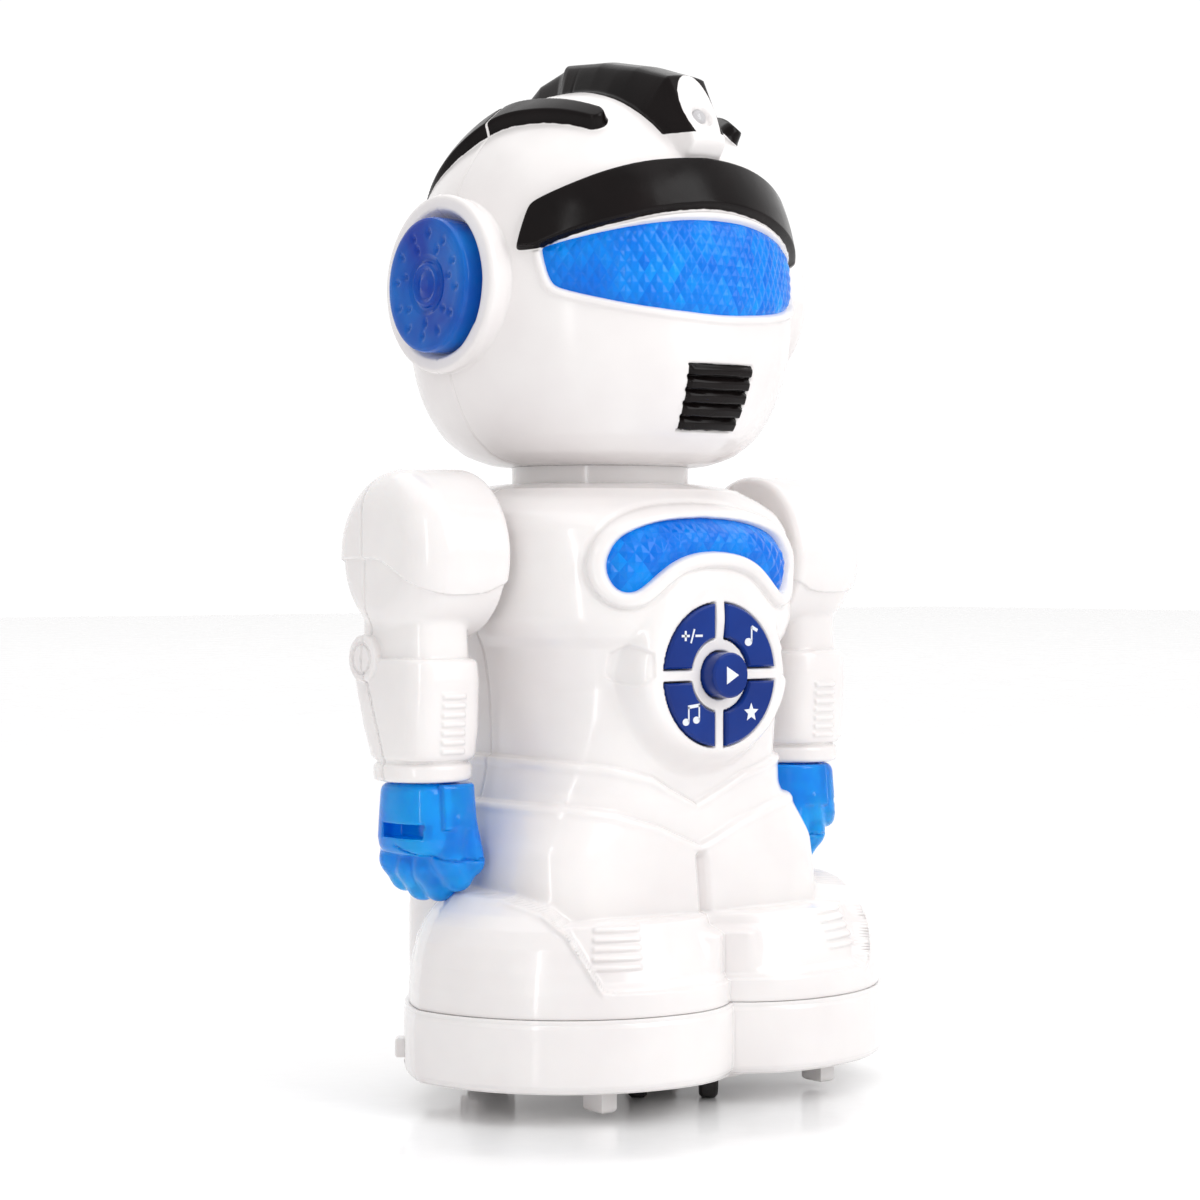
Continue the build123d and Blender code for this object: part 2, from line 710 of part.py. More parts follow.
# ---- head ---------------------------------------------------------------------------------------
HEAD_CURVE = [(22.0, CHIN_Z), (36.0, 158.0), (44.3, 169.0), (47.2, 181.0), (HEAD_R, 194.0),
              (44.9, 211.0), (37.0, 226.5), (22.0, 238.3), (0.0, 243.5)]
CREST = [(-40.5, 226.0), (-34.5, 245.5), (-14.0, 250.5), (7.0, 253.0), (28.0, 247.5), (43.0, 230.0),
         (30.0, 214.0), (-26.0, 214.0)]
VISOR_HALF = [(0, 210.3), (9, 210.0), (18, 208.9), (26, 206.9), (33, 204.6), (36.6, 202.0),
              (35.8, 194.2), (30.6, 191.2), (23, 189.3), (14.8, 188.1), (0, 187.3)]
BROW_HALF = [(0, 224.7), (14, 223.5), (24, 220.8), (32, 217.2), (38.6, 211.8), (42.2, 203.5),
             (41.0, 201.5), (38.2, 203.2), (31, 206.4), (23.5, 209.0), (14.7, 211.2), (0, 212.4)]
MOUTH_RIBS = [163.5, 167.1, 170.7, 174.3]


def head_form(share):
    """The head's smooth form, drawn in towards its middle by share."""
    points = [(r * share, EAR_Z + (z - EAR_Z) * share) for r, z in HEAD_CURVE]
    with BuildPart() as form:
        with BuildSketch(at_y(CY)):
            with BuildLine():
                Spline(*points)
                Polyline(points[-1], (0, points[0][1]), points[0])
            make_face()
        revolve(axis=Axis((0, CY, 0), (0, 0, 1)))
    return form.part


def crest_form(inset):
    """Upright fin along the top of the head."""
    with BuildPart() as fin:
        with BuildSketch(Plane.YZ.offset(-8.0 + inset)):
            with BuildLine():
                Polyline(*[(y + CY, z) for y, z in CREST], close=True)
            make_face()
            if inset:
                offset(amount=-inset)
        extrude(amount=16.0 - 2 * inset)
    return fin.part


def prism(half_outline, grow, y_from, y_to):
    """Upright outline, the same both sides of the middle, carried from y_from forward to y_to."""
    with BuildPart() as block:
        with BuildSketch(at_y(y_from)):
            with BuildLine():
                Polyline(*half_outline)
                mirror(about=Plane.YZ)
            make_face()
            if grow:
                offset(amount=grow, kind=Kind.INTERSECTION)
        extrude(amount=y_from - y_to)
    return block.part


def head_shell():
    shares = (HEAD_R - WALL) / HEAD_R
    with BuildPart() as cavity:
        add(head_form(shares))
        add(crest_form(WALL))
        with BuildSketch(at_y(CY + 50.0)):
            for x, z in HEAD_BOSSES:
                with Locations((x, z), (-x, z)):
                    Circle(3.8)
        extrude(amount=100.0, mode=Mode.SUBTRACT)
        for x in (-44.3, 30.3):
            with BuildSketch(Plane.YZ.offset(x)):
                with Locations((CY, EAR_Z)):
                    Circle(17.6)
            extrude(amount=14.0)
    with BuildPart() as shell:
        add(head_form(1.0))
        add(crest_form(0.0))
        # raised rings round the ears
        for x in (-48.6, 40.0):
            with BuildSketch(Plane.YZ.offset(x)):
                with Locations((CY, EAR_Z)):
                    Circle(19.6)
            extrude(amount=8.6)
        add(cavity.part, mode=Mode.SUBTRACT)
        with BuildSketch(Plane.YZ.offset(-60.0)):
            with Locations((CY, EAR_Z)):
                Circle(16.4)
        extrude(amount=20.0, mode=Mode.SUBTRACT)
        with BuildSketch(Plane.YZ.offset(40.0)):
            with Locations((CY, EAR_Z)):
                Circle(16.4)
        extrude(amount=20.0, mode=Mode.SUBTRACT)
        # hole in the chin for the neck ring
        with BuildSketch(Plane.XY.offset(CHIN_Z - 2.0)):
            with Locations((0, CY)):
                Circle(19.1)
        extrude(amount=6.0, mode=Mode.SUBTRACT)
    return shell.part


def build_head(shell):
    led_plane = Plane(origin=(0, CY - 39.0, 235.4), x_dir=(1, 0, 0), z_dir=(0, -0.956, 0.294))
    with BuildPart() as raised:
        add(head_form(1.022))
        add(head_form(0.985), mode=Mode.SUBTRACT)
    with BuildPart() as band:
        add(raised.part)
        add(prism(BROW_HALF, 0.0, CY - 6.0, CY - 60.0), mode=Mode.INTERSECT)
    with BuildPart() as ribs:
        with BuildSketch(at_y(CY - 20.0)):
            for z in MOUTH_RIBS:
                with Locations((0, z)):
                    Rectangle(20.0, 2.4)
        extrude(amount=40.0)
        add(raised.part, mode=Mode.INTERSECT)
    with BuildPart() as front:
        add(shell)
        split(bisect_by=at_y(HEAD_SPLIT), keep=Keep.TOP)
        # raised brow band and mouth ribs stand on the shell's surface
        add(band.part)
        add(ribs.part)
        add(prism(VISOR_HALF, 0.12, CY - 20.0, CY - 60.0), mode=Mode.SUBTRACT)
        with BuildSketch(led_plane.offset(-12.0)):
            Circle(2.6)
        extrude(amount=20.0, mode=Mode.SUBTRACT)
        with BuildSketch(at_y(HEAD_SPLIT + 1.0)):
            for x, z in HEAD_BOSSES:
                with Locations((x, z), (-x, z)):
                    Circle(1.3)
        extrude(amount=14.0, mode=Mode.SUBTRACT)
    keep(front.part, "head_front_shell")

    with BuildPart() as back:
        add(shell)
        split(bisect_by=at_y(HEAD_SPLIT), keep=Keep.BOTTOM)
        with BuildSketch(at_y(CY + 60.0)):
            for x, z in HEAD_BOSSES:
                with Locations((x, z), (-x, z)):
                    Circle(1.7)
        extrude(amount=65.0, mode=Mode.SUBTRACT)
        with BuildSketch(at_y(CY + 60.0)):
            for x, z in HEAD_BOSSES:
                with Locations((x, z), (-x, z)):
                    Circle(2.9)
        extrude(amount=54.0, mode=Mode.SUBTRACT)
    keep(back.part, "head_back_shell")
    screw_set("head_screws", both_sides(HEAD_BOSSES), CY + 6.1, 16.0)

    with BuildPart() as visor:
        add(head_form(0.992))
        add(head_form(0.958), mode=Mode.SUBTRACT)
        add(prism(VISOR_HALF, 0.0, CY - 20.0, CY - 60.0), mode=Mode.INTERSECT)
    keep(visor.part, "visor_lens")

    with BuildPart() as led:
        with BuildSketch(led_plane.offset(-7.0)):
            Circle(2.5)
        extrude(amount=7.4)
        fillet(led.faces().sort_by(Axis(led_plane.origin, led_plane.z_dir))[-1].edges(), 2.2)
        with BuildSketch(led_plane.offset(-12.0)):
            with Locations((-1.3, 0), (1.3, 0)):
                Circle(0.4)
        extrude(amount=5.2)
    keep(led.part, "crest_led")

    for label, side in (("right_ear_disc", -1), ("left_ear_disc", 1)):
        with BuildPart() as disc:
            with BuildSketch(ear_plane(side, 42.6)):
                Circle(17.4)
            extrude(amount=1.5)
            with BuildSketch(ear_plane(side, 44.0)):
                Circle(16.25)
            extrude(amount=8.0)
            fillet(disc.faces().sort_by(Axis((0, 0, 0), (side, 0, 0)))[-1].edges(), 2.2)
            with BuildSketch(ear_plane(side, 52.0)):
                Circle(3.6)
            extrude(amount=1.4)
            # rings and dimples round the boss
            with BuildSketch(ear_plane(side, 52.0)):
                Circle(6.6)
                Circle(5.2, mode=Mode.SUBTRACT)
                for radius, count in ((9.0, 10), (12.2, 14)):
                    with PolarLocations(radius, count):
                        Circle(0.9)
            extrude(amount=-0.5, mode=Mode.SUBTRACT)
            # hollow behind the face
            with BuildSketch(ear_plane(side, 42.0)):
                Circle(14.4)
            extrude(amount=8.0, mode=Mode.SUBTRACT)
        keep(disc.part, label)

    with BuildPart() as board:
        with BuildSketch(at_y(CY - 20.0)):
            with Locations((0, 197.0)):
                RectangleRounded(54.0, 63.6, 11.0)
            for x, z in HEAD_BOSSES:
                with Locations((x, z), (-x, z)):
                    Circle(4.0, mode=Mode.SUBTRACT)
        extrude(amount=1.6)
        with BuildSketch(at_y(CY - 21.6)):
            with Locations((-16.0, 199.0), (16.0, 199.0)):
                Circle(2.5)
        extrude(amount=7.0)
    keep(board.part, "head_lamp_board")

    with BuildPart() as ring:
        for z, radius, height in ((141.7, 23.4, 1.6), (143.2, 22.0, CHIN_Z - 0.1 - 143.2),
                                  (CHIN_Z - 0.2, 19.0, 2.4), (154.55, 20.6, 1.5)):
            with BuildSketch(Plane.XY.offset(z)):
                with Locations((0, CY)):
                    Circle(radius)
            extrude(amount=height)
        with BuildSketch(Plane.XY.offset(141.0)):
            with Locations((0, CY)):
                Circle(17.0)
        extrude(amount=16.0, mode=Mode.SUBTRACT)
    keep(ring.part, "neck_ring")


def ear_plane(side, out):
    """Plane facing sideways out of the head, out from the middle, centred on the ear."""
    return Plane(origin=(side * out, CY, EAR_Z), x_dir=(0, 1, 0), z_dir=(side, 0, 0))


# ---- arms ---------------------------------------------------------------------------------------
# (height, width, depth, how far the middle lies ahead of the shoulder)
LIMB = [(140.0, 20.0, 24.0, 0.0), (124.0, 21.6, 31.0, 0.0), (108.0, 22.0, 31.0, 0.0), (98.0, 21.6, 27.0, 1.0),
        (84.0, 22.0, 23.0, 2.6), (77.3, 22.4, 22.4, 3.4)]
HAND = [(49.4, 12.0, 13.0, 7.5), (52.5, 19.0, 20.5, 7.8), (60.0, 22.5, 26.0, 7.6), (69.0, 22.5, 25.0, 6.0),
        (74.0, 20.0, 21.0, 4.2), (77.0, 17.0, 17.0, 3.6)]
ARM_SCREWS = [(60.0, 142.0), (60.0, 110.0), (59.0, 90.0)]


def limb_form(side, inset):
    with BuildPart() as limb:
        for level, (z, wide, deep, ahead) in enumerate(LIMB):
            lift = inset if level == len(LIMB) - 1 else 0.0
            with BuildSketch(Plane.XY.offset(z + lift)):
                with Locations((side * ARM_X, SHOULDER_Y - ahead)):
                    corner = min(wide, deep) / 2 - 0.4 - inset
                    RectangleRounded(wide - 2 * inset, deep - 2 * inset, corner)
        loft(ruled=True)
    return limb.part


def arm_plane(side, out):
    return Plane(origin=(side * out, SHOULDER_Y, SHOULDER_Z), x_dir=(0, 1, 0), z_dir=(side, 0, 0))


def shoulder_cap(side, inset):
    with BuildPart() as cap:
        with BuildSketch(arm_plane(side, 45.0 + inset)):
            Circle(19.8 - inset)
        extrude(amount=24.5 - 2 * inset)
        outer = cap.faces().sort_by(Axis((0, 0, 0), (side, 0, 0)))[-1]
        fillet(outer.edges(), 9.0 - inset)
    return cap.part


def build_arm(side, word):
    with BuildPart() as cavity:
        add(shoulder_cap(side, 2.0))
        add(limb_form(side, 2.0))
        with BuildSketch(at_y(SHOULDER_Y + 30.0)):
            with Locations(*[(side * x, z) for x, z in ARM_SCREWS]):
                Circle(3.0)
        extrude(amount=60.0, mode=Mode.SUBTRACT)
    with BuildPart() as shell:
        add(shoulder_cap(side, 0.0))
        add(limb_form(side, 0.0))
        add(cavity.part, mode=Mode.SUBTRACT)
        with BuildSketch(arm_plane(side, 44.0)):
            Circle(6.05)
        extrude(amount=4.0, mode=Mode.SUBTRACT)
        with BuildSketch(Plane.XY.offset(76.0)):
            with Locations((side * ARM_X, SHOULDER_Y - 3.4)):
                Circle(7.1)
        extrude(amount=5.0, mode=Mode.SUBTRACT)
        # short ribs on the outside of the forearm
        with BuildSketch(at_y(SHOULDER_Y - 20.0)):
            with GridLocations(0, 2.4, 1, 6):
                with Locations((side * 58.3, 93.0)):
                    Rectangle(7.0, 1.1)
        extrude(amount=-8.2)
    with BuildPart() as front:
        add(shell.part)
        split(bisect_by=at_y(SHOULDER_Y), keep=Keep.TOP)
        with BuildSketch(at_y(SHOULDER_Y + 1.0)):
            with Locations(*[(side * x, z) for x, z in ARM_SCREWS]):
                Circle(1.3)
        extrude(amount=10.0, mode=Mode.SUBTRACT)
    keep(front.part, word + "_arm_front_shell")
    with BuildPart() as back:
        add(shell.part)
        split(bisect_by=at_y(SHOULDER_Y), keep=Keep.BOTTOM)
        with BuildSketch(at_y(SHOULDER_Y + 30.0)):
            with Locations(*[(side * x, z) for x, z in ARM_SCREWS]):
                Circle(1.6)
        extrude(amount=40.0, mode=Mode.SUBTRACT)
        with BuildSketch(at_y(SHOULDER_Y + 30.0)):
            with Locations(*[(side * x, z) for x, z in ARM_SCREWS]):
                Circle(2.5)
        extrude(amount=25.0, mode=Mode.SUBTRACT)
    keep(back.part, word + "_arm_back_shell")
    screw_set(word + "_arm_screws", [(side * x, z) for x, z in ARM_SCREWS], SHOULDER_Y + 5.05, 12.0, 2.3)

    with BuildPart() as hand:
        for z, wide, deep, ahead in HAND:
            with BuildSketch(Plane.XY.offset(z)):
                with Locations((side * (ARM_X + 0.4), SHOULDER_Y - ahead)):
                    RectangleRounded(wide, deep, min(wide, deep) / 2 - 1.5)
        loft(ruled=True)
        # wrist held between the two halves of the forearm
        for z, radius, height in ((76.5, 7.0, 3.2), (79.5, 8.4, 1.6)):
            with BuildSketch(Plane.XY.offset(z)):
                with Locations((side * ARM_X, SHOULDER_Y - 3.4)):
                    Circle(radius)
            extrude(amount=height)
        # hole through the grip
        with BuildSketch(at_y(SHOULDER_Y + 20.0)):
            with Locations((side * (ARM_X + 0.4), 65.5)):
                SlotOverall(9.0, 5.0)
        extrude(amount=60.0, mode=Mode.SUBTRACT)
    keep(hand.part, word + "_hand")

    # shoulder pin: a hub that turns in the body's side wall and is stopped by a flange inside
    with BuildPart() as hub:
        for out, radius, length in ((34.8, 9.6, 2.0), (36.7, 8.2, 8.1), (44.7, 6.0, 4.4)):
            with BuildSketch(arm_plane(side, out)):
                Circle(radius)
            extrude(amount=length)
        with BuildSketch(arm_plane(side, 34.0)):
            Circle(3.5)
        extrude(amount=16.0, mode=Mode.SUBTRACT)
    keep(hub.part, word + "_shoulder_pin")


# ---- build everything ---------------------------------------------------------------------------
body = body_shell()
build_body(body)
screw_set("body_screws", both_sides(BODY_BOSSES), CY + 6.1, 22.0)
build_chest_lens()
build_buttons()
build_electronics()
build_battery_box()
build_base()
build_rollers()
build_drive()
build_head(head_shell())
build_arm(-1, "right")
build_arm(1, "left")

os.makedirs("parts", exist_ok=True)
for part, label in PARTS:
    export_step(part, "parts/" + label + ".step")
print(len(PARTS), "parts written")
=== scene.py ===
"""Looks of the toy robot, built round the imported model: glossy white shells with black trim,
translucent blue visor, chest window, ears, hands and buttons."""

import math

import bpy
import numpy as np
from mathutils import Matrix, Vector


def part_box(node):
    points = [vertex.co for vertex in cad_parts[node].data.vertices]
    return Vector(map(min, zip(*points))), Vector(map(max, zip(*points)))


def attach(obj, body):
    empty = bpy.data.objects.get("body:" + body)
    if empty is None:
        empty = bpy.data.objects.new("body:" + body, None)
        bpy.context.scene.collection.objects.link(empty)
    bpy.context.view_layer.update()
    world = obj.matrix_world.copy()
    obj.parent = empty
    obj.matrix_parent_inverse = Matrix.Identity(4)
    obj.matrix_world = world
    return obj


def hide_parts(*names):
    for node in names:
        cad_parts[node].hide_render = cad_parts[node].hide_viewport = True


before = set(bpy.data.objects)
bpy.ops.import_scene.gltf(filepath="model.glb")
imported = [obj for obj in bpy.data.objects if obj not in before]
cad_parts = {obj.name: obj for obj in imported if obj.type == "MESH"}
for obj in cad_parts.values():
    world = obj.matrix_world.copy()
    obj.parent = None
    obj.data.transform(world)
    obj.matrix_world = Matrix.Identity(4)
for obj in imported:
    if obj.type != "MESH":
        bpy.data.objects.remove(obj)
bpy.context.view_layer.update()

# ---- driving dimensions, in millimetres; x to the robot's left, y to its back, z up ----
MM = 0.001
CY = 5.75  # the head's and neck's axis
FRONT_Y = CY - 4.0  # axis of the shoulders, where the body's two halves meet
HEAD_R, DOME_RZ, EAR_Z, CHIN_Z = 47.5, 50.5, 195.0, 152.4
EAR_DISC_R, EAR_RING_R, EAR_FACE_X = 16.2, 20.0, 49.5
SHOULDER_Z, ARM_X, SHOULDER_R = 130.3, 58.3, 19.8
BODY_BOTTOM, BODY_TOP, COLLAR_R = 24.6, 146.5, 22.4
VIEW = math.radians(38.0)  # the photograph looks from this far round to the toy's right
RING_Z, RING_OUT, RING_IN, RING_MID, RING_GAP = 102.0, 17.0, 9.0, 5.4, 1.7
BUTTON_Y, CENTRE_Y = CY - 47.0, CY - 50.6


# ---- small maths ----
def smooth(a, b, x):
    """0 below a, 1 above b, eased in between; a may be above b."""
    t = np.clip((x - a) / (b - a), 0.0, 1.0)
    return t * t * (3.0 - 2.0 * t)


def soft_max(a, b, k):
    h = np.maximum(k - np.abs(a - b), 0.0) / k
    return np.maximum(a, b) + h * h * k * 0.25


def soft_min(a, b, k):
    return -soft_max(-a, -b, k)


def outline(points, rounds=3):
    """A closed polygon through corner points, its corners cut round."""
    p = np.array(points, float)
    for _ in range(rounds):
        q = np.roll(p, -1, axis=0)
        p = np.stack([0.75 * p + 0.25 * q, 0.25 * p + 0.75 * q], axis=1).reshape(-1, 2)
    return p


def mirrored(half):
    """A closed outline from its right half, listed from the middle round to the middle."""
    return half + [(-x, y) for x, y in reversed(half)]


def inside_by(poly, x, y):
    """Distance from the outline's edge, negative inside it."""
    best = np.full(x.shape, 1e9)
    inside = np.zeros(x.shape, bool)
    for (ax, ay), (bx, by) in zip(poly, np.roll(poly, -1, axis=0)):
        ex, ey = bx - ax, by - ay
        wx, wy = x - ax, y - ay
        t = np.clip((wx * ex + wy * ey) / (ex * ex + ey * ey + 1e-12), 0, 1)
        best = np.minimum(best, np.hypot(wx - t * ex, wy - t * ey))
        crosses = (ay > y) != (by > y)
        if by != ay:
            inside ^= crosses & (x < ax + ex * (y - ay) / ey)
    return np.where(inside, -best, best)


def curve_through(points, count=80):
    """Evenly eased points along a smooth curve through the given ones."""
    p = np.array(points, float)
    p = np.vstack([2 * p[0] - p[1], p, 2 * p[-1] - p[-2]])
    out = []
    spans = len(p) - 3
    for t in np.linspace(0, spans, count, endpoint=True):
        i = min(int(t), spans - 1)
        u = t - i
        a, b, c, d = p[i:i + 4]
        out.append(0.5 * (2 * b + (c - a) * u + (2 * a - 5 * b + 4 * c - d) * u**2
                          + (3 * b - a - 3 * c + d) * u**3))
    return np.array(out)


# ---- meshes ----
def new_object(name, verts, faces, material, body, fields=None, chart=None):
    """A smooth-shaded mesh from millimetres; fields are numbers kept at each vertex."""
    mesh = bpy.data.meshes.new(name)
    verts = np.asarray(verts, float) * MM
    faces = np.asarray(faces, np.int32)
    sides = faces.shape[1]
    mesh.vertices.add(len(verts))
    mesh.vertices.foreach_set("co", verts.ravel())
    mesh.loops.add(faces.size)
    mesh.loops.foreach_set("vertex_index", faces.ravel())
    mesh.polygons.add(len(faces))
    mesh.polygons.foreach_set("loop_start", np.arange(0, faces.size, sides, dtype=np.int32))
    mesh.polygons.foreach_set("use_smooth", np.ones(len(faces), bool))
    mesh.update(calc_edges=True)
    for key, values in (fields or {}).items():
        layer = mesh.attributes.new(key, "FLOAT", "POINT")
        layer.data.foreach_set("value", np.asarray(values, np.float32).ravel())
    if chart is not None:
        layer = mesh.uv_layers.new(name="chart")
        uv = np.asarray(chart, np.float32).reshape(-1, 2)[faces.ravel()]
        layer.data.foreach_set("uv", uv.ravel())
    mesh.validate()
    obj = bpy.data.objects.new(name, mesh)
    bpy.context.scene.collection.objects.link(obj)
    mesh.materials.append(material)
    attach(obj, body)
    return obj


def grid_faces(rows, cols, wrap):
    """Quads of a grid of points, closed across its columns when wrap is true."""
    index = np.arange(rows * cols).reshape(rows, cols)
    right = np.roll(index, -1, axis=1)
    if not wrap:
        index, right = index[:, :-1], right[:, :-1]
    return np.stack([index[:-1], right[:-1], right[1:], index[1:]], axis=-1).reshape(-1, 4)


def kept(faces, mask):
    """The points in use by the faces whose corners are all in the mask, and those faces renumbered."""
    faces = faces[mask.ravel()[faces].all(axis=1)]
    used, inverse = np.unique(faces, return_inverse=True)
    return used, inverse.reshape(faces.shape)


def surface_net(field, low, high, step):
    """Mesh of where a distance field is zero, its points drawn onto the surface."""
    axes = [np.arange(a, b + step, step) for a, b in zip(low, high)]
    x, y, z = np.meshgrid(*axes, indexing="ij")
    d = field(x, y, z)
    inside = d < 0
    shape = tuple(n - 1 for n in d.shape)
    total = np.zeros(shape + (3,))
    count = np.zeros(shape)
    crossings = []
    for axis in range(3):
        lo = [slice(None)] * 3
        hi = [slice(None)] * 3
        lo[axis], hi[axis] = slice(None, -1), slice(1, None)
        cross = inside[tuple(lo)] != inside[tuple(hi)]
        where = np.argwhere(cross)
        i0 = tuple(where.T)
        step_to = where.copy()
        step_to[:, axis] += 1
        d0, d1 = d[i0], d[tuple(step_to.T)]
        at = where.astype(float)
        at[:, axis] += d0 / (d0 - d1)
        crossings.append((where, inside[i0]))
        b, c = [k for k in range(3) if k != axis]
        for db in (0, -1):
            for dc in (0, -1):
                cell = where.copy()
                cell[:, b] += db
                cell[:, c] += dc
                ok = ((cell >= 0) & (cell < np.array(shape))).all(axis=1)
                np.add.at(total, tuple(cell[ok].T), at[ok])
                np.add.at(count, tuple(cell[ok].T), 1)
    active = count > 0
    number = np.full(shape, -1)
    number[active] = np.arange(active.sum())
    verts = total[active] / count[active][:, None] * step + np.array(low)
    quads = []
    for axis in range(3):
        where, starts_inside = crossings[axis]
        b, c = (axis + 1) % 3, (axis + 2) % 3
        ring = []
        for db, dc in ((-1, -1), (0, -1), (0, 0), (-1, 0)):
            cell = where.copy()
            cell[:, b] += db
            cell[:, c] += dc
            ring.append(number[tuple(np.clip(cell, 0, np.array(shape) - 1).T)])
        quad = np.stack(ring, axis=1)
        quad = np.where(starts_inside[:, None], quad, quad[:, ::-1])
        quads.append(quad[(quad >= 0).all(axis=1)])
    h = step * 0.25
    for _ in range(2):
        vx, vy, vz = verts.T
        value = field(vx, vy, vz)
        slope = np.stack([field(vx + h, vy, vz) - field(vx - h, vy, vz),
                          field(vx, vy + h, vz) - field(vx, vy - h, vz),
                          field(vx, vy, vz + h) - field(vx, vy, vz - h)], axis=1) / (2 * h)
        length = np.maximum((slope**2).sum(axis=1), 0.2)
        verts = verts - np.clip(value / length, -step, step)[:, None] * slope
    return verts, np.vstack(quads)


def lathe(profile, centre, axis, count=96):
    """Points and quads of a profile of (along, radius) turned round an axis through centre."""
    turn = np.linspace(0, 2 * math.pi, count, endpoint=False)
    along, radius = np.array(profile, float).T
    a = np.repeat(along[:, None], count, axis=1)
    u = radius[:, None] * np.cos(turn)
    v = radius[:, None] * np.sin(turn)
    cx, cy, cz = centre
    if axis == "x":
        points = np.stack([cx + a, cy + u, cz + v], axis=-1)
    else:
        points = np.stack([cx + u, cy + v, cz + a], axis=-1)
    return points.reshape(-1, 3), grid_faces(len(profile), count, True)


# ---- materials ----
def node_material(name):
    material = bpy.data.materials.new(name)
    material.use_nodes = True
    nodes = material.node_tree.nodes
    return material, nodes, material.node_tree.links, nodes["Principled BSDF"]


def noise(nodes, links, place, scale, detail=3.0):
    texture = nodes.new("ShaderNodeTexNoise")
    texture.inputs["Scale"].default_value = scale
    texture.inputs["Detail"].default_value = detail
    links.new(place, texture.inputs["Vector"])
    return texture.outputs["Fac"]


def spread(nodes, links, value, low, high):
    """Turns a noise value into a number between low and high."""
    node = nodes.new("ShaderNodeMapRange")
    node.inputs["From Min"].default_value = 0.3
    node.inputs["From Max"].default_value = 0.7
    node.inputs["To Min"].default_value = low
    node.inputs["To Max"].default_value = high
    links.new(value, node.inputs["Value"])
    return node.outputs["Result"]


def mix_colour(nodes, links, factor, a, b):
    node = nodes.new("ShaderNodeMix")
    node.data_type = "RGBA"
    for socket, value in ((node.inputs["A"], a), (node.inputs["B"], b)):
        if isinstance(value, tuple):
            socket.default_value = value
        else:
            links.new(value, socket)
    if isinstance(factor, float):
        node.inputs["Factor"].default_value = factor
    else:
        links.new(factor, node.inputs["Factor"])
    return node.outputs["Result"]


def add_bump(nodes, links, shader, heights):
    """Stacks bumps of (height socket, distance in metres) onto a shader."""
    normal = None
    for height, distance in heights:
        bump = nodes.new("ShaderNodeBump")
        bump.inputs["Distance"].default_value = distance
        bump.inputs["Strength"].default_value = 1.0
        links.new(height, bump.inputs["Height"])
        if normal:
            links.new(normal, bump.inputs["Normal"])
        normal = bump.outputs["Normal"]
    links.new(normal, shader.inputs["Normal"])


def plastic(name, colour, shade, rough=(0.16, 0.26), coat=0.35, grain=0.00004, scatter=0.0, paint=False,
            specular=0.5):
    """Moulded plastic: mottled colour, faint flow waves and fine grain, worn gloss; with paint,
    the vertex field of that name lays glossy black over it where it is below zero."""
    material, nodes, links, shader = node_material(name)
    place = nodes.new("ShaderNodeTexCoord").outputs["Object"]
    cloud = noise(nodes, links, place, 38.0)
    fine = noise(nodes, links, place, 900.0, 2.0)
    wave = noise(nodes, links, place, 120.0, 1.0)
    mottle = spread(nodes, links, cloud, 0.0, 1.0)
    base = mix_colour(nodes, links, mottle, colour, shade)
    gloss = spread(nodes, links, noise(nodes, links, place, 260.0, 4.0), *rough)
    if paint:
        edge = nodes.new("ShaderNodeAttribute")
        edge.attribute_name = "paint"
        wobble = nodes.new("ShaderNodeMath")
        wobble.operation = "MULTIPLY_ADD"
        links.new(noise(nodes, links, place, 420.0, 2.0), wobble.inputs[0])
        wobble.inputs[1].default_value = 0.35
        links.new(edge.outputs["Fac"], wobble.inputs[2])
        cover = nodes.new("ShaderNodeMapRange")
        cover.inputs["From Min"].default_value = 0.23
        cover.inputs["From Max"].default_value = 0.12
        links.new(wobble.outputs["Value"], cover.inputs["Value"])
        black = mix_colour(nodes, links, mottle, (0.004, 0.003, 0.003, 1), (0.009, 0.006, 0.006, 1))
        base = mix_colour(nodes, links, cover.outputs["Result"], base, black)
        sheen = nodes.new("ShaderNodeMapRange")
        sheen.inputs["To Min"].default_value = 0.5
        sheen.inputs["To Max"].default_value = 0.13
        links.new(cover.outputs["Result"], sheen.inputs["Value"])
        links.new(sheen.outputs["Result"], shader.inputs["Specular IOR Level"])
    else:
        shader.inputs["Specular IOR Level"].default_value = specular
    links.new(base, shader.inputs["Base Color"])
    links.new(gloss, shader.inputs["Roughness"])
    shader.inputs["Coat Weight"].default_value = coat
    shader.inputs["Coat Roughness"].default_value = 0.06
    shader.inputs["IOR"].default_value = 1.5
    if scatter:
        shader.inputs["Subsurface Weight"].default_value = scatter
        shader.inputs["Subsurface Radius"].default_value = (0.004, 0.003, 0.0025)
        shader.inputs["Subsurface Scale"].default_value = 0.4
    add_bump(nodes, links, shader, [(wave, grain * 2.2), (fine, grain * 0.25)])
    return material


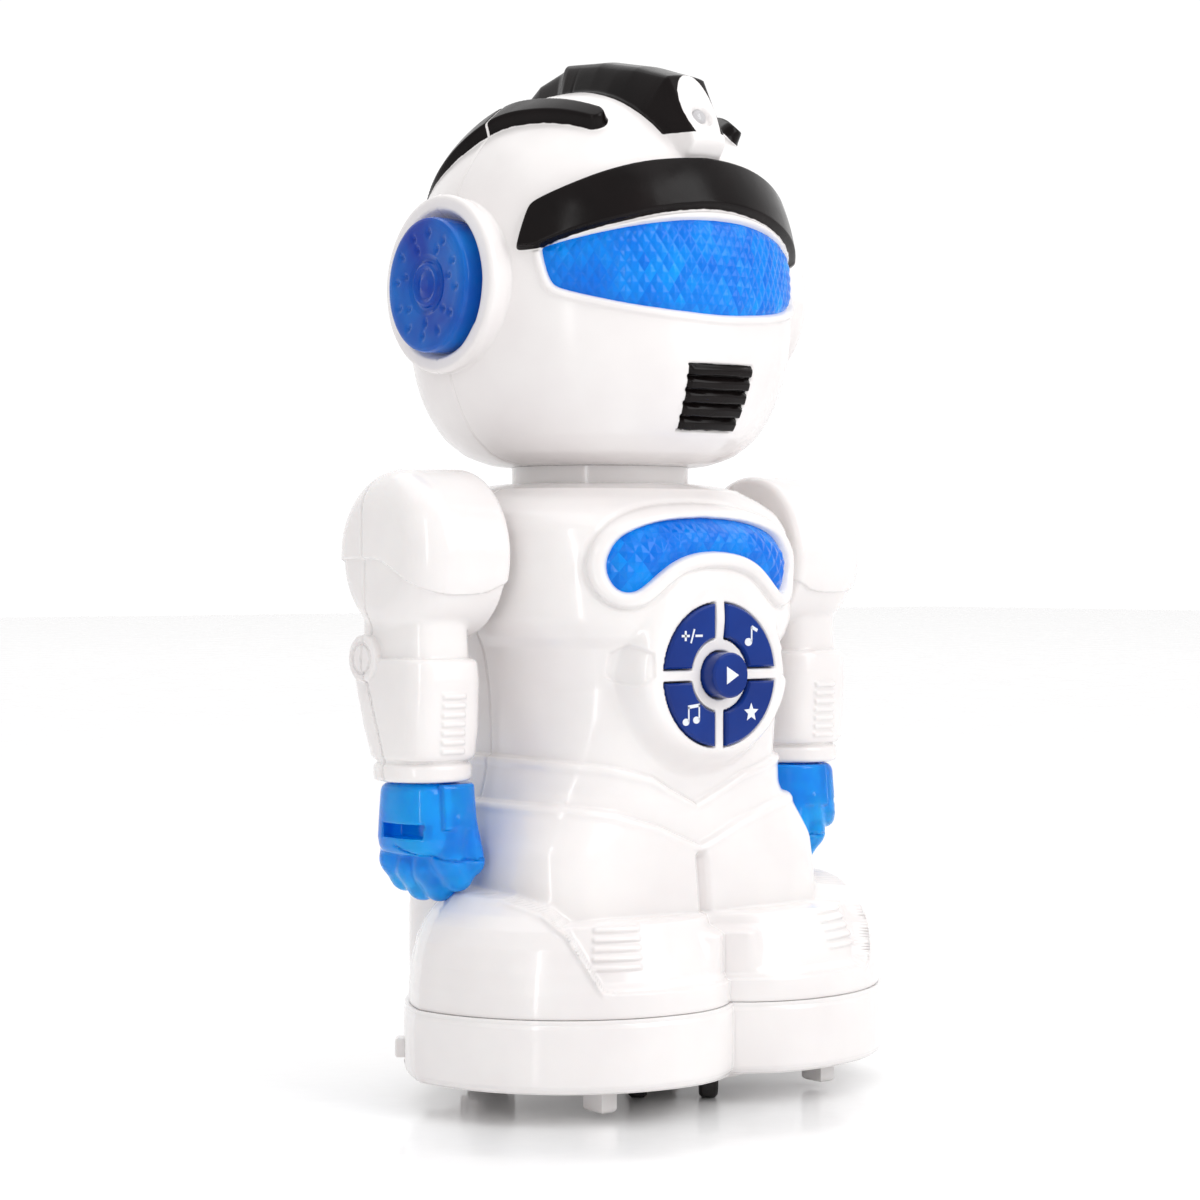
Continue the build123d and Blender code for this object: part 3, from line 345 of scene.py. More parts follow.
def clear_plastic(name, deep, bright, through, rough, painted_facet_light=False, scatter=0.0):
    """Tinted clear plastic; with the facet switch on, every facet of the diamond lattice gets its own
    brightness in the colour, which is painted light and shade standing in for the facets catching the light.
    """
    material, nodes, links, shader = node_material(name)
    place = nodes.new("ShaderNodeTexCoord").outputs["Object"]
    cloud = spread(nodes, links, noise(nodes, links, place, 60.0), 0.0, 1.0)
    base = mix_colour(nodes, links, cloud, deep, bright)
    # painted light and shade: each diamond facet is made lighter or darker at random, as if it catches or
    # misses the light
    if painted_facet_light:
        chart = nodes.new("ShaderNodeUVMap")
        chart.uv_map = "chart"
        cell = nodes.new("ShaderNodeVectorMath")
        cell.operation = "FLOOR"
        links.new(chart.outputs["UV"], cell.inputs[0])
        random = nodes.new("ShaderNodeTexWhiteNoise")
        random.noise_dimensions = "2D"
        links.new(cell.outputs["Vector"], random.inputs["Vector"])
        painted_facet_brightness = nodes.new("ShaderNodeMapRange")
        painted_facet_brightness.inputs["To Min"].default_value = 0.15
        painted_facet_brightness.inputs["To Max"].default_value = 1.0
        links.new(random.outputs["Value"], painted_facet_brightness.inputs["Value"])
        base = mix_colour(nodes, links, painted_facet_brightness.outputs["Result"], deep, base)
    links.new(base, shader.inputs["Base Color"])
    links.new(spread(nodes, links, noise(nodes, links, place, 200.0), *rough), shader.inputs["Roughness"])
    shader.inputs["Transmission Weight"].default_value = through
    shader.inputs["IOR"].default_value = 1.49
    shader.inputs["Specular IOR Level"].default_value = 0.22
    if scatter:
        shader.inputs["Subsurface Weight"].default_value = scatter
        shader.inputs["Subsurface Radius"].default_value = (0.001, 0.004, 0.008)
        shader.inputs["Subsurface Scale"].default_value = 0.6
    add_bump(nodes, links, shader, [(noise(nodes, links, place, 140.0, 1.0), 0.00008)])
    return material


def metal(name, colour, shade, rough):
    material, nodes, links, shader = node_material(name)
    place = nodes.new("ShaderNodeTexCoord").outputs["Object"]
    cloud = spread(nodes, links, noise(nodes, links, place, 500.0), 0.0, 1.0)
    links.new(mix_colour(nodes, links, cloud, colour, shade), shader.inputs["Base Color"])
    links.new(spread(nodes, links, noise(nodes, links, place, 900.0), *rough), shader.inputs["Roughness"])
    shader.inputs["Metallic"].default_value = 1.0
    add_bump(nodes, links, shader, [(noise(nodes, links, place, 1500.0), 0.00002)])
    return material


WHITE = plastic("white_plastic", (0.86, 0.835, 0.825, 1), (0.80, 0.765, 0.76, 1), scatter=0.12)
TRIMMED = plastic("white_plastic_with_black_paint", (0.86, 0.835, 0.825, 1), (0.80, 0.765, 0.76, 1),
                  coat=0.0, paint=True)
BLACK = plastic("black_plastic", (0.010, 0.009, 0.010, 1), (0.020, 0.017, 0.018, 1), (0.22, 0.36), 0.0,
                specular=0.3)
RUBBER = plastic("black_rubber", (0.014, 0.013, 0.013, 1), (0.028, 0.026, 0.025, 1), (0.55, 0.75), 0.0,
                 0.0002, specular=0.3)
BLUE_BUTTON = plastic("button_blue", (0.001, 0.018, 0.16, 1), (0.001, 0.034, 0.25, 1), (0.10, 0.2), 0.0,
                      specular=0.3)
SYMBOL = plastic("symbol_white", (0.80, 0.83, 0.88, 1), (0.70, 0.74, 0.82, 1), (0.35, 0.5), 0.0, 0.00002)
# the visor's facets carry painted light and shade in their colour; the chest window uses this material too
VISOR = clear_plastic("visor_blue", (0.0, 0.15, 0.72, 1), (0.0, 0.34, 0.98, 1), 0.06, (0.06, 0.14),
                      painted_facet_light=True)
EAR = clear_plastic("ear_blue", (0.0, 0.045, 0.42, 1), (0.0, 0.17, 0.66, 1), 0.25, (0.05, 0.12), scatter=0.1)
AZURE = clear_plastic("hand_azure", (0.0, 0.24, 0.95, 1), (0.0, 0.46, 1.0, 1), 0.45, (0.06, 0.14),
                      scatter=0.2)
CLEAR = clear_plastic("lamp_clear", (0.85, 0.88, 0.92, 1), (0.95, 0.96, 0.98, 1), 0.9, (0.02, 0.06))
STEEL = metal("steel", (0.62, 0.62, 0.63, 1), (0.45, 0.45, 0.46, 1), (0.22, 0.4))
BOARD = plastic("circuit_board", (0.02, 0.16, 0.06, 1), (0.03, 0.22, 0.09, 1), (0.35, 0.5), 0.1)
GREY = plastic("grey_plastic", (0.42, 0.43, 0.44, 1), (0.34, 0.35, 0.36, 1), (0.3, 0.45), 0.1)


# ---- head ----
SECTION = np.array([(22.0, 152.4), (27.0, 152.9), (33.5, 155.2), (38.6, 159.2), (42.4, 164.8), (44.6, 169.8),
                    (46.2, 175.5), (47.1, 181.5), (47.5, 188.0), (47.5, 195.0)])
BROW = outline(mirrored([(0, 224.9), (5.0, 224.7), (17.9, 223.5), (28.9, 220.9), (38.8, 217.2), (45.6, 214.2),
                         (47.6, 212.8), (48.6, 210.6), (50.3, 203.4), (50.2, 202.2), (48.8, 202.0),
                         (44.4, 202.3), (42.8, 203.2), (33.6, 206.3),
                         (24.6, 208.7), (15.2, 211.0), (4.3, 212.3), (0, 212.4)]), 2)
WINDOW = outline(mirrored([(0, 210.3), (8.9, 210.1), (19.5, 208.7), (29.0, 206.8), (38.3, 204.6),
                           (43.4, 203.2), (44.4, 202.6), (44.3, 201.2), (43.2, 197.0), (42.2, 194.6),
                           (41.0, 193.2),
                           (38.6, 192.3), (33.6, 191.0), (24.5, 189.1), (15.2, 187.9),
                           (4.7, 187.1), (0, 187.0)]), 2)
STRIPE = curve_through([(21.6, -25.2, 235.4), (25.1, -17.5, 237.2), (28.0, -10.5, 237.8), (30.2, -3.5, 237.3),
                        (32.6, 1.5, 235.8), (35.3, 7.0, 232.0), (37.2, 14.0, 227.4), (37.2, 21.5, 222.4),
                        (35.5, 29.0, 215.5)])
STRIPE_HALF = np.interp(np.linspace(0, 8, len(STRIPE)), range(9),
                        [3.4, 3.7, 4.0, 4.2, 4.0, 3.4, 2.4, 1.5, 0.4])
FIN_SIDE = np.array([(-39.3, 224.6), (-41.5, 226.8), (-43.0, 229.2), (-42.6, 230.8), (-34.0, 245.7),
                     (-22.0, 249.4), (-8.0, 252.3), (6.6, 253.5), (7.2, 252.4), (18.0, 249.7),
                     (28.0, 243.6), (37.0, 233.5), (43.5, 221.0)])
# the fin's blunt front: its top corner, the rise and run of its slope, and the lamp's place on it
FIN_TIP_Y, FIN_TIP_Z = 34.0, 245.7
FIN_RISE, FIN_RUN = 0.877, 0.48
LAMP_Z, LAMP_Y = 235.4, 39.7


def head_radius(x, y, z):
    """Distance from the head's middle to its plain round form, along a direction."""
    side = np.hypot(x, y)
    rise = np.arctan2(z, side)
    up = np.linspace(0, math.pi / 2, 200)
    power = 2.15
    dome = ((np.cos(up) / HEAD_R)**power + (np.sin(up) / DOME_RZ)**power)**(-1 / power)
    low_rise = np.arctan2(SECTION[:, 1] - EAR_Z, SECTION[:, 0])
    low_reach = np.hypot(SECTION[:, 0], SECTION[:, 1] - EAR_Z)
    fine = np.linspace(low_rise[0], 0, 400)
    reach = np.interp(fine, low_rise, low_reach)
    kernel = np.hanning(25)
    kernel /= kernel.sum()
    padded = np.concatenate([np.full(12, reach[0]), reach, np.full(12, reach[-1])])
    reach = np.convolve(padded, kernel, "valid")
    floor_gap = (EAR_Z - CHIN_Z) / np.maximum(np.sin(-np.minimum(rise, -0.01)), 0.01)
    r = np.where(rise >= 0, np.interp(rise, up, dome), np.interp(rise, fine, reach))
    return np.where(rise < low_rise[0], floor_gap, r)


def head_fields(x, y, z):
    """Distances to the edges of the head's trim, at points on its round form."""
    along = 46.0 * np.arctan2(x, -y)
    front = y < 0
    height = z + EAR_Z
    brow = np.where(front, inside_by(BROW, along, height), 30.0)
    window = np.where(front, inside_by(WINDOW, along, height), 30.0)
    stripe = np.full(x.shape, 30.0)
    for centre, half in zip(STRIPE, STRIPE_HALF):
        direction = np.array([centre[0], centre[1], centre[2] - EAR_Z])
        direction /= np.linalg.norm(direction)
        on_head = direction * head_radius(*direction)
        gap = np.sqrt((np.abs(x) - on_head[0])**2 + (y - on_head[1])**2 + (z - on_head[2])**2)
        stripe = np.minimum(stripe, gap - half)
    return along, height, brow, window, stripe


def fin_reach(y, z):
    """Distance from the head's middle to the fin's top line, in the middle plane."""
    turn = np.arctan2(z, -y)
    corner = np.arctan2(FIN_SIDE[:, 1] - EAR_Z, -FIN_SIDE[:, 0])
    fine = np.linspace(corner[0], corner[-1], 2400)
    samples = []
    for a, b in zip(FIN_SIDE[:-1], FIN_SIDE[1:]):
        t = np.linspace(0, 1, 60)[:, None]
        samples.append(a + (b - a) * t)
    samples = np.vstack(samples)
    reach = np.interp(fine, np.arctan2(samples[:, 1] - EAR_Z, -samples[:, 0]),
                      np.hypot(samples[:, 0], samples[:, 1] - EAR_Z))
    return np.interp(turn, fine, reach, left=0.0, right=0.0)


def head_surface(rows, cols):
    """Grid of directions round the ear axis, with the head's round form along them."""
    tilt = np.radians(np.linspace(3.0, 177.0, rows))[:, None]
    turn = np.linspace(0, 2 * math.pi, cols, endpoint=False)[None, :]
    dx = np.cos(tilt) * np.ones_like(turn)
    dy = np.sin(tilt) * np.cos(turn)
    dz = np.sin(tilt) * np.sin(turn)
    return dx, dy, dz, head_radius(dx, dy, dz)


def head_relief(y, along, height, brow, window, stripe, grille):
    """How far brow, window lip, stripes, jaw guard and mouth stand off the plain head."""
    # brow stands proud; the window has a raised lip and a sunken floor
    lift = 2.0 * smooth(0.15, -1.0, brow)
    lift += 0.75 * smooth(2.1, 1.2, window) * smooth(-0.2, 0.5, window) * smooth(0.2, 1.0, brow)
    lift -= 2.3 * smooth(0.0, -0.55, window)
    lift += 3.2 * smooth(0.2, -1.5, stripe) * smooth(34.0, -6.0, y)
    # jaw guard in front with its row of ribs
    guard = smooth(24.0, 9.0, np.abs(along)) * smooth(152.5, 162.5, height) * smooth(186.0, 174.0, height)
    guard = np.where(y < 0, guard, 0.0)
    lift += 1.6 * guard
    slat = np.abs(((height - 161.0) / 3.05) % 1.0 - 0.5) * 2.0
    lift += 0.9 * smooth(0.1, -0.9, grille)
    lift -= np.where(grille < 0.4, 1.9 * smooth(0.55, 0.85, slat) * smooth(0.3, -0.5, grille), 0.0)
    # parting line of the two halves
    return lift - 0.35 * np.exp(-(y / 0.32)**2) * smooth(0.0, 1.0, np.abs(window))


def head_paint(x, y, height, brow, stripe, grille, on_fin):
    """Negative where the head is painted black."""
    # the fin's blunt front is a white pointed oval round the lamp; up_front runs down the slope
    up_front = (-y - FIN_TIP_Y) * FIN_RUN + (FIN_TIP_Z - height) * FIN_RISE
    oval = np.hypot(np.abs(x) / (5.3 + 0.05 * (10.0 - up_front)), (up_front - 10.0) / 10.6) - 1.0
    oval = np.where((y < -29) & (height > 224), np.maximum(oval * 5.0, -3.0), 30.0)
    black = np.minimum(np.minimum(brow, stripe), on_fin)
    black = np.maximum(black, -oval - 0.2)
    black = np.minimum(black, np.where(y < 0, grille, 30.0))
    return np.maximum(black, 0.25 - np.where(stripe < 1.0, np.abs(y), 9.0))


def build_head():
    rows, cols = 420, 880
    dx, dy, dz, r = head_surface(rows, cols)
    x, y, z = dx * r, dy * r, dz * r
    along, height, brow, window, stripe = head_fields(x, y, z)
    grille = np.maximum(np.abs(along) - 9.6, np.abs(height - 168.5) - 7.6)
    grille = np.where(y < 0, grille, 30.0)
    r = r + head_relief(y, along, height, brow, window, stripe, grille)

    # fin along the middle
    fin = fin_reach(y, z)
    fin_base = np.interp(y, [-42.0, -38.0, -34.0, -26.0, -14.0, 4.0, 8.0, 24.0, 40.0],
                         [5.2, 6.4, 8.0, 9.8, 11.2, 11.0, 8.4, 7.6, 5.0])
    widen = smooth(fin_base, np.minimum(4.4, fin_base - 1.6), np.abs(x))
    fin_height = np.maximum(fin - r, 0.0)
    crown = 0.5 * (np.abs(x) / 5.0)**2
    r = r + np.maximum(fin_height * widen - crown * (fin_height > 1.0), 0.0)

    # flat ring round each ear, with a seat for the disc
    from_ear = np.hypot(dy * r, dz * r)
    ring_x = EAR_FACE_X - 0.9 * smooth(EAR_RING_R - 1.2, EAR_RING_R + 0.2, from_ear)
    ring_x = ring_x - 3.6 * smooth(EAR_DISC_R + 0.45, EAR_DISC_R - 0.1, from_ear)
    ring_r = ring_x / np.maximum(np.abs(dx), 0.2)
    near = np.abs(dx) > 0.85
    ring_edge = smooth(EAR_RING_R + 1.0, EAR_RING_R - 0.2, from_ear)
    r = np.where(near, r + (ring_r - r) * ring_edge, r)

    # seat of the lamp in the fin's front
    sink = np.hypot(dx * r, (dz * r + EAR_Z - LAMP_Z) * FIN_RISE - (-dy * r - LAMP_Y) * FIN_RUN)
    r = r - np.where(dy < -0.4, 1.5 * smooth(3.0, 2.6, sink), 0.0)

    x, y, z = dx * r, dy * r, dz * r
    height = z + EAR_Z
    on_fin = np.where((fin > 0) & (fin_height > 0.3), np.abs(x) - fin_base + 0.2, 30.0)
    on_fin = np.where(y < -28, np.maximum(on_fin, (231.0 - height) * 0.8), on_fin)
    paint = head_paint(x, y, height, brow, stripe, grille, on_fin)
    verts = np.stack([x, y + CY, z + EAR_Z], axis=-1).reshape(-1, 3)
    faces = grid_faces(rows, cols, True)[:, ::-1]
    head = new_object("head_shell", verts, faces, TRIMMED, "head", {"paint": paint})
    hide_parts("head_front_shell", "head_back_shell")


def facet(a, b):
    """Height of one diamond pyramid, 0 along the lattice's lines and 1 at a cell's middle."""
    fa, fb = a % 1.0, b % 1.0
    return 2.0 * np.minimum(np.minimum(fa, 1 - fa), np.minimum(fb, 1 - fb))


def build_visor():
    rows, cols = 520, 1300
    dx, dy, dz, r = head_surface(rows, cols)
    x, y, z = dx * r, dy * r, dz * r
    along = 46.0 * np.arctan2(x, -y)
    height = z + EAR_Z
    near = (y < 0) & (np.abs(along) < 47) & (np.abs(height - 198.5) < 14)
    window = np.full(x.shape, 30.0)
    window[near] = inside_by(WINDOW, along[near], height[near])
    a = along / 2.9 + height / 4.8
    b = along / 2.9 - height / 4.8
    lift = -0.85 + 0.45 * facet(a, b) * smooth(-0.2, -1.4, window) + 0.5 * smooth(0.0, -3.0, window)
    r = r + lift
    points = np.stack([dx * r, dy * r + CY, dz * r + EAR_Z], axis=-1).reshape(-1, 3)
    used, faces = kept(grid_faces(rows, cols, True)[:, ::-1], window < 0.12)
    chart = np.stack([a, b], axis=-1).reshape(-1, 2)[used]
    lens = new_object("visor", points[used], faces, VISOR, "head", chart=chart)
    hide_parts("visor_lens")


def build_ears():
    for side, name in ((-1, "right"), (1, "left")):
        profile = [(-2.0, 16.1), (3.0, 16.2), (5.8, 16.2), (6.6, 15.9), (6.9, 15.2), (7.0, 14.2), (7.0, 13.2),
                   (6.9, 12.0), (6.8, 9.9), (6.7, 8.6), (6.6, 7.4), (6.3, 6.8), (6.1, 6.2), (6.3, 5.6),
                   (7.0, 5.2), (7.3, 4.6), (7.1, 4.0), (6.7, 3.4), (6.9, 2.6), (7.2, 1.6), (7.2, 0.01)]
        corners = np.array(profile)
        t = np.linspace(0, len(corners) - 1, 150)
        fine = np.stack([np.interp(t, range(len(corners)), column) for column in corners.T], axis=1)
        points, faces = lathe(fine, (46.0, CY, EAR_Z), "x", 180)
        # shallow dimples round the dished face
        turn = np.arctan2(points[:, 2] - EAR_Z, points[:, 1] - CY)
        reach = np.hypot(points[:, 2] - EAR_Z, points[:, 1] - CY)
        for ring, count in ((12.3, 12), (9.2, 7)):
            wave = ((turn / (2 * math.pi) * count + ring) % 1.0 - 0.5) * 2 * math.pi / count * ring
            dimple = np.exp(-(wave**2 / 0.35 + (reach - ring)**2 / 0.9)) * (points[:, 0] > 49)
            points[:, 0] -= 0.7 * dimple
        points[:, 0] *= side
        if side < 0:
            faces = faces[:, ::-1]
        ear = new_object(name + "_ear", points, faces, EAR, "head")
        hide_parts(name + "_ear_disc")


# ---- body ----
LENS_UPPER = [(0, 139.5), (8, 139.2), (15, 138.3), (21, 136.6), (25.4, 134.2), (28.0, 130.5)]
LENS_LOWER = [(28.3, 126.6), (26.8, 122.9), (24.6, 121.4), (22.0, 121.6), (19.4, 123.4), (16.5, 125.9),
              (13.0, 128.4), (9, 130.1), (4.5, 131.0), (0, 131.2)]
LENS = outline(mirrored(LENS_UPPER + LENS_LOWER), 2)
BASE_ARCS = [((0, -51.0), (9.0, -56.8), (22, -59)), ((22, -59), (53.1, -46.1), (66, -15)),
             ((66, -15), (50, 10.5), (24, 24.5)), ((24, 24.5), (12, 27.2), (0, 28))]
#        z      side  front  back  squareness
LEVELS = [(24.6, 45.5, 41.5, 26.0, 4.0), (44.0, 43.6, 38.6, 26.0, 5.2), (61.0, 42.6, 36.6, 26.0, 5.0),
          (69.0, 39.6, 36.2, 26.0, 3.8), (74.0, 37.8, 36.9, 26.0, 3.2), (80.0, 36.4, 38.9, 26.0, 3.1),
          (92.0, 36.7, 43.4, 26.0, 2.6), (99.0, 37.2, 44.4, 26.0, 2.3), (106.0, 38.4, 44.9, 26.0, 2.3),
          (110.5, 39.8, 45.2, 26.0, 2.3), (115.0, 42.0, 45.8, 26.0, 2.3), (123.0, 43.0, 45.9, 26.0, 2.3),
          (131.0, 43.0, 45.2, 26.0, 2.4), (137.0, 43.0, 42.6, 25.6, 2.4), (141.0, 41.8, 38.6, 24.6, 2.4),
          (144.5, 38.0, 33.4, 22.5, 2.3), (146.5, 33.0, 29.5, 21.0, 2.2)]


def arc_points(start, on, end, count=24):
    """Points of the circular arc through three given ones."""
    (ax, ay), (bx, by), (cx, cy) = start, on, end
    d = 2 * (ax * (by - cy) + bx * (cy - ay) + cx * (ay - by))
    ux = ((ax**2 + ay**2) * (by - cy) + (bx**2 + by**2) * (cy - ay) + (cx**2 + cy**2) * (ay - by)) / d
    uy = ((ax**2 + ay**2) * (cx - bx) + (bx**2 + by**2) * (ax - cx) + (cx**2 + cy**2) * (bx - ax)) / d
    angles = [math.atan2(y - uy, x - ux) for x, y in (start, on, end)]
    full = 2 * math.pi
    forward = (angles[2] - angles[0]) % full
    if (angles[1] - angles[0]) % full > forward:
        forward -= full
    turn = angles[0] + np.linspace(0, forward, count)
    radius = math.hypot(ax - ux, ay - uy)
    return np.stack([ux + radius * np.cos(turn), uy + radius * np.sin(turn)], axis=1)


def base_reach(turn):
    """Distance from the body's axis to the base's outline; turn is 0 in front."""
    half = np.vstack([arc_points(*arc) for arc in BASE_ARCS])
    angle = np.arctan2(half[:, 0], -(half[:, 1] + 4.0))
    order = np.argsort(angle)
    reach = np.hypot(half[:, 0], half[:, 1] + 4.0)[order]
    return np.interp(np.abs(turn), angle[order], reach)


def level(z, column):
    """A smooth value between the body's levels."""
    heights = np.array([row[0] for row in LEVELS])
    values = np.array([row[column] for row in LEVELS])
    fine = np.arange(20.0, 150.0, 0.25)
    sampled = np.interp(fine, heights, values)
    kernel = np.hanning(19)
    kernel /= kernel.sum()
    padded = np.concatenate([np.full(9, sampled[0]), sampled, np.full(9, sampled[-1])])
    return np.interp(z, fine, np.convolve(padded, kernel, "valid"))


def body_round(turn, z):
    """The body's plain form: superellipse sections about the shoulder line."""
    side, front, back, power = (level(z, k) for k in (1, 2, 3, 4))
    sin, cos = np.abs(np.sin(turn)), np.cos(turn)
    deep = np.where(cos > 0, front - 4.0, back + 4.0)
    power = np.where(cos > 0, power, np.maximum(power, 3.2))
    return ((sin / side)**power + (np.abs(cos) / deep)**power)**(-1 / power)


def button_gap(x, z):
    """Distance from the buttons' edges, negative inside one."""
    rise = z - RING_Z
    reach = np.hypot(x, rise)
    quarter = np.maximum(np.maximum(reach - RING_OUT, RING_IN - reach),
                         RING_GAP - np.minimum(np.abs(x), np.abs(rise)))
    return np.minimum(quarter, reach - RING_MID)


def body_form(turn, z):
    """Reach of the finished body along a direction."""
    r = body_round(turn, z)
    x = np.abs(np.sin(turn)) * r
    cos = np.cos(turn)
    front = smooth(-0.1, 0.15, cos)
    # belt and hips step out below two V-shaped edges
    v_one = np.interp(x, [0, 8, 14, 25, 37, 60], [71.0, 74.8, 78.0, 80.7, 82.4, 82.8])
    v_two = np.interp(x, [0, 4, 12, 23, 34, 60], [61.2, 62.8, 66.4, 69.9, 71.8, 72.0])
    r = r + 1.35 * smooth(0.35, -0.45, z - v_one) + 1.5 * smooth(0.35, -0.45, z - v_two)
    # rounded lip along each edge
    r = r + 0.35 * np.exp(-((z - v_one + 1.3) / 0.9)**2) + 0.4 * np.exp(-((z - v_two + 1.4) / 0.9)**2)
    # chest overhangs the belly
    r = r + 0.9 * smooth(108.2, 111.5, z) * smooth(126.0, 114.0, z) * front
    # crease between the legs, and between the feet
    cleft = np.exp(-(x / (1.3 + 0.9 * smooth(46, 26, z)))**2) * front
    r = r - (2.6 * smooth(60.5, 57.5, z) + 3.0 * smooth(46, 40, z) * smooth(27.0, 30.0, z)) * cleft

    # feet: they follow the base's outline and swell up to a curved rim
    angle = np.degrees(np.abs(turn))
    rim = np.interp(angle, [0, 37, 39.5, 40.5, 43.7, 47.7, 53.5, 64, 79, 95, 110, 140, 180],
                    [30.5, 30.8, 31.4, 33.0, 38.7, 44.6, 48.7, 51.2, 51.6, 51.4, 50.5, 49.0, 48.5])
    inset = np.interp(z, [24.0, 25.0, 30, 35, 40, 44, 47, 49.5, 51.5, 53],
                      [1.2, 0.9, 1.1, 1.9, 3.4, 5.6, 8.2, 11.4, 15.0, 19.0])
    shoe = base_reach(turn) - inset
    # top plate of the foot between the rims
    plate_top = 45.3
    slope = np.interp(z, [24.6, 28.0, 31.0, 32.2, 38.0, 44.4, 45.3], [1.2, 1.6, 2.8, 4.6, 6.6, 9.4, 10.6])
    bridge = smooth(8.0, 3.0, x) * smooth(42.5, 40.5, z)
    slope = slope + (3.2 - slope) * bridge * (slope > 3.2)
    tongue = base_reach(turn) - slope
    tongue = np.where(z < plate_top + 0.5, tongue, 0.0)
    tongue = np.where(angle < 62, tongue, 0.0)
    grown = soft_max(r, tongue * smooth(plate_top + 0.5, plate_top - 0.3, z), 0.8)
    side_shoe = shoe * smooth(0.5, -0.6, z - rim)
    back_shoe = shoe * smooth(49.5, 48.5, z)
    grown = np.where(angle < 150, np.maximum(grown, side_shoe), np.maximum(grown, back_shoe))
    ridge = 0.8 * np.exp(-((z - rim + 0.9) / 0.9)**2) * smooth(38, 41, angle) * smooth(150, 120, angle)
    r = grown + ridge
    # ribs on each foot's plate
    rib_zone = smooth(30.4, 31.2, angle) * smooth(42.4, 41.6, angle)
    rib_zone = rib_zone * smooth(34.6, 35.0, z) * smooth(45.4, 45.0, z)
    r = r + 0.7 * rib_zone * smooth(0.75, 0.35, np.abs(((z - 34.7) / 2.1) % 1.0 - 0.5) * 2)

    # battery box on the back
    hump = ((np.abs(np.sin(turn)) / 29.0)**9 + (np.abs(cos) / 36.0)**9)**(-1 / 9)
    hump = np.where(cos < -0.3, hump, 0.0) * smooth(93.4, 92.0, z)
    r = np.maximum(r, hump)
    back_x = np.abs(np.sin(turn)) * r
    door = np.maximum(back_x - 25.75, np.abs(z - 58.75) - 31.95)
    r = np.where(cos < -0.5, r - 2.05 * smooth(0.25, -0.2, door), r)
    # loudspeaker holes
    bx, bz = np.sin(turn) * r, z - 118.0
    for ring, count in ((0.0, 1), (4.5, 6), (9.0, 12), (13.0, 18)):
        for k in range(count):
            hx = ring * math.cos(2 * math.pi * k / count)
            hz = ring * math.sin(2 * math.pi * k / count)
            hole = np.hypot(bx - hx, bz - hz)
            r = np.where(cos < -0.5, r - 1.8 * smooth(1.35, 0.95, hole), r)
    return r


def body_grid(rows, cols, low, high, turn_low=-math.pi, turn_high=math.pi, wrap=True):
    """Turn and height of every point of a grid round the body's axis."""
    z = np.linspace(low, high, rows)[:, None] * np.ones((1, cols))
    turn = np.linspace(turn_low, turn_high, cols, endpoint=not wrap)[None, :] * np.ones((rows, 1))
    return turn, z


def build_body():
    rows, cols = 380, 900
    turn, z = body_grid(rows, cols, BODY_BOTTOM, BODY_TOP)
    r = body_form(turn, z)
    x = np.sin(turn) * r
    front = np.cos(turn) > 0.2
    # chest window: raised round bezel, sunken floor
    lens = np.where(front & (z > 112), inside_by(LENS, x, z), 30.0)
    bezel = np.clip(1 - ((lens - 1.75) / 1.75)**2, 0, 1)
    r = r + 1.5 * np.sqrt(bezel) * (lens > 0) - 2.6 * smooth(0.05, -0.5, lens)
    # groove round the bezel
    r = r - 0.45 * np.exp(-((lens - 3.9) / 0.5)**2)
    # flat face for the buttons, with the pits that take them
    reach = np.hypot(x, z - RING_Z)
    flat = (CY - FRONT_Y + 42.1) / np.maximum(np.cos(turn), 0.3) - 4.0
    flat = np.where(front, np.maximum(flat, r), r)
    r = r + (flat - r) * smooth(25.0, 17.0, reach)
    x = np.sin(turn) * r
    gap = np.where(front & (z > 80) & (z < 122), button_gap(x, z), 30.0)
    r = r - 4.5 * smooth(0.45, 0.05, gap)
    # parting line at the sides
    y = FRONT_Y - np.cos(turn) * r
    r = r - 0.35 * np.exp(-((y - FRONT_Y) / 0.3)**2) * (z > 24.6)
    # small recess between chest and belly on each side
    x = np.sin(turn) * r
    from_mark = np.abs(np.abs(x) - 23.0)
    mark = np.maximum(from_mark - 3.2, np.abs(z - 104.5) - 5.0 + from_mark * 0.7)
    r = r - np.where(front, 0.7 * smooth(0.3, -0.5, mark), 0.0)

    points = [np.stack([np.sin(turn) * r, FRONT_Y - np.cos(turn) * r, z], axis=-1)]
    # shoulder slope closes in to the neck
    last = points[0][-1]
    collar = np.stack([COLLAR_R * np.sin(turn[0]), CY - COLLAR_R * np.cos(turn[0]), np.full(cols, 148.6)],
                      axis=-1)
    steps = 26
    for k in range(1, steps + 1):
        t = k / steps
        row = last + (collar - last) * t
        row[:, 2] = BODY_TOP + 1.6 * math.sin(t * math.pi / 2)
        points.append(row[None])
    points.append((points[-1][0] - np.array([0, 0, 3.0]))[None])
    grid = np.vstack(points)
    body = new_object("body_shell", grid.reshape(-1, 3), grid_faces(grid.shape[0], cols, True), WHITE, "body")
    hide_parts("body_front_shell", "body_back_shell")


def build_chest_window():
    rows, cols = 220, 620
    turn, z = body_grid(rows, cols, 119.0, 142.0, -0.95, 0.95, wrap=False)
    r = body_round(turn, z) + 0.9 * smooth(126.0, 114.0, z)
    x = np.sin(turn) * r
    edge = inside_by(LENS, x, z)
    a = x / 3.4 + z / 4.6
    b = x / 3.4 - z / 4.6
    r = r - 0.9 + 0.40 * facet(a, b) * smooth(-0.2, -1.2, edge) + 1.5 * smooth(0.0, -4.0, edge)
    points = np.stack([np.sin(turn) * r, FRONT_Y - np.cos(turn) * r, z], axis=-1).reshape(-1, 3)
    used, faces = kept(grid_faces(rows, cols, False), edge < 0.2)
    chart = np.stack([a, b], axis=-1).reshape(-1, 2)[used]
    window = new_object("chest_window", points[used], faces, VISOR, "body", chart=chart)
    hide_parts("chest_lens")


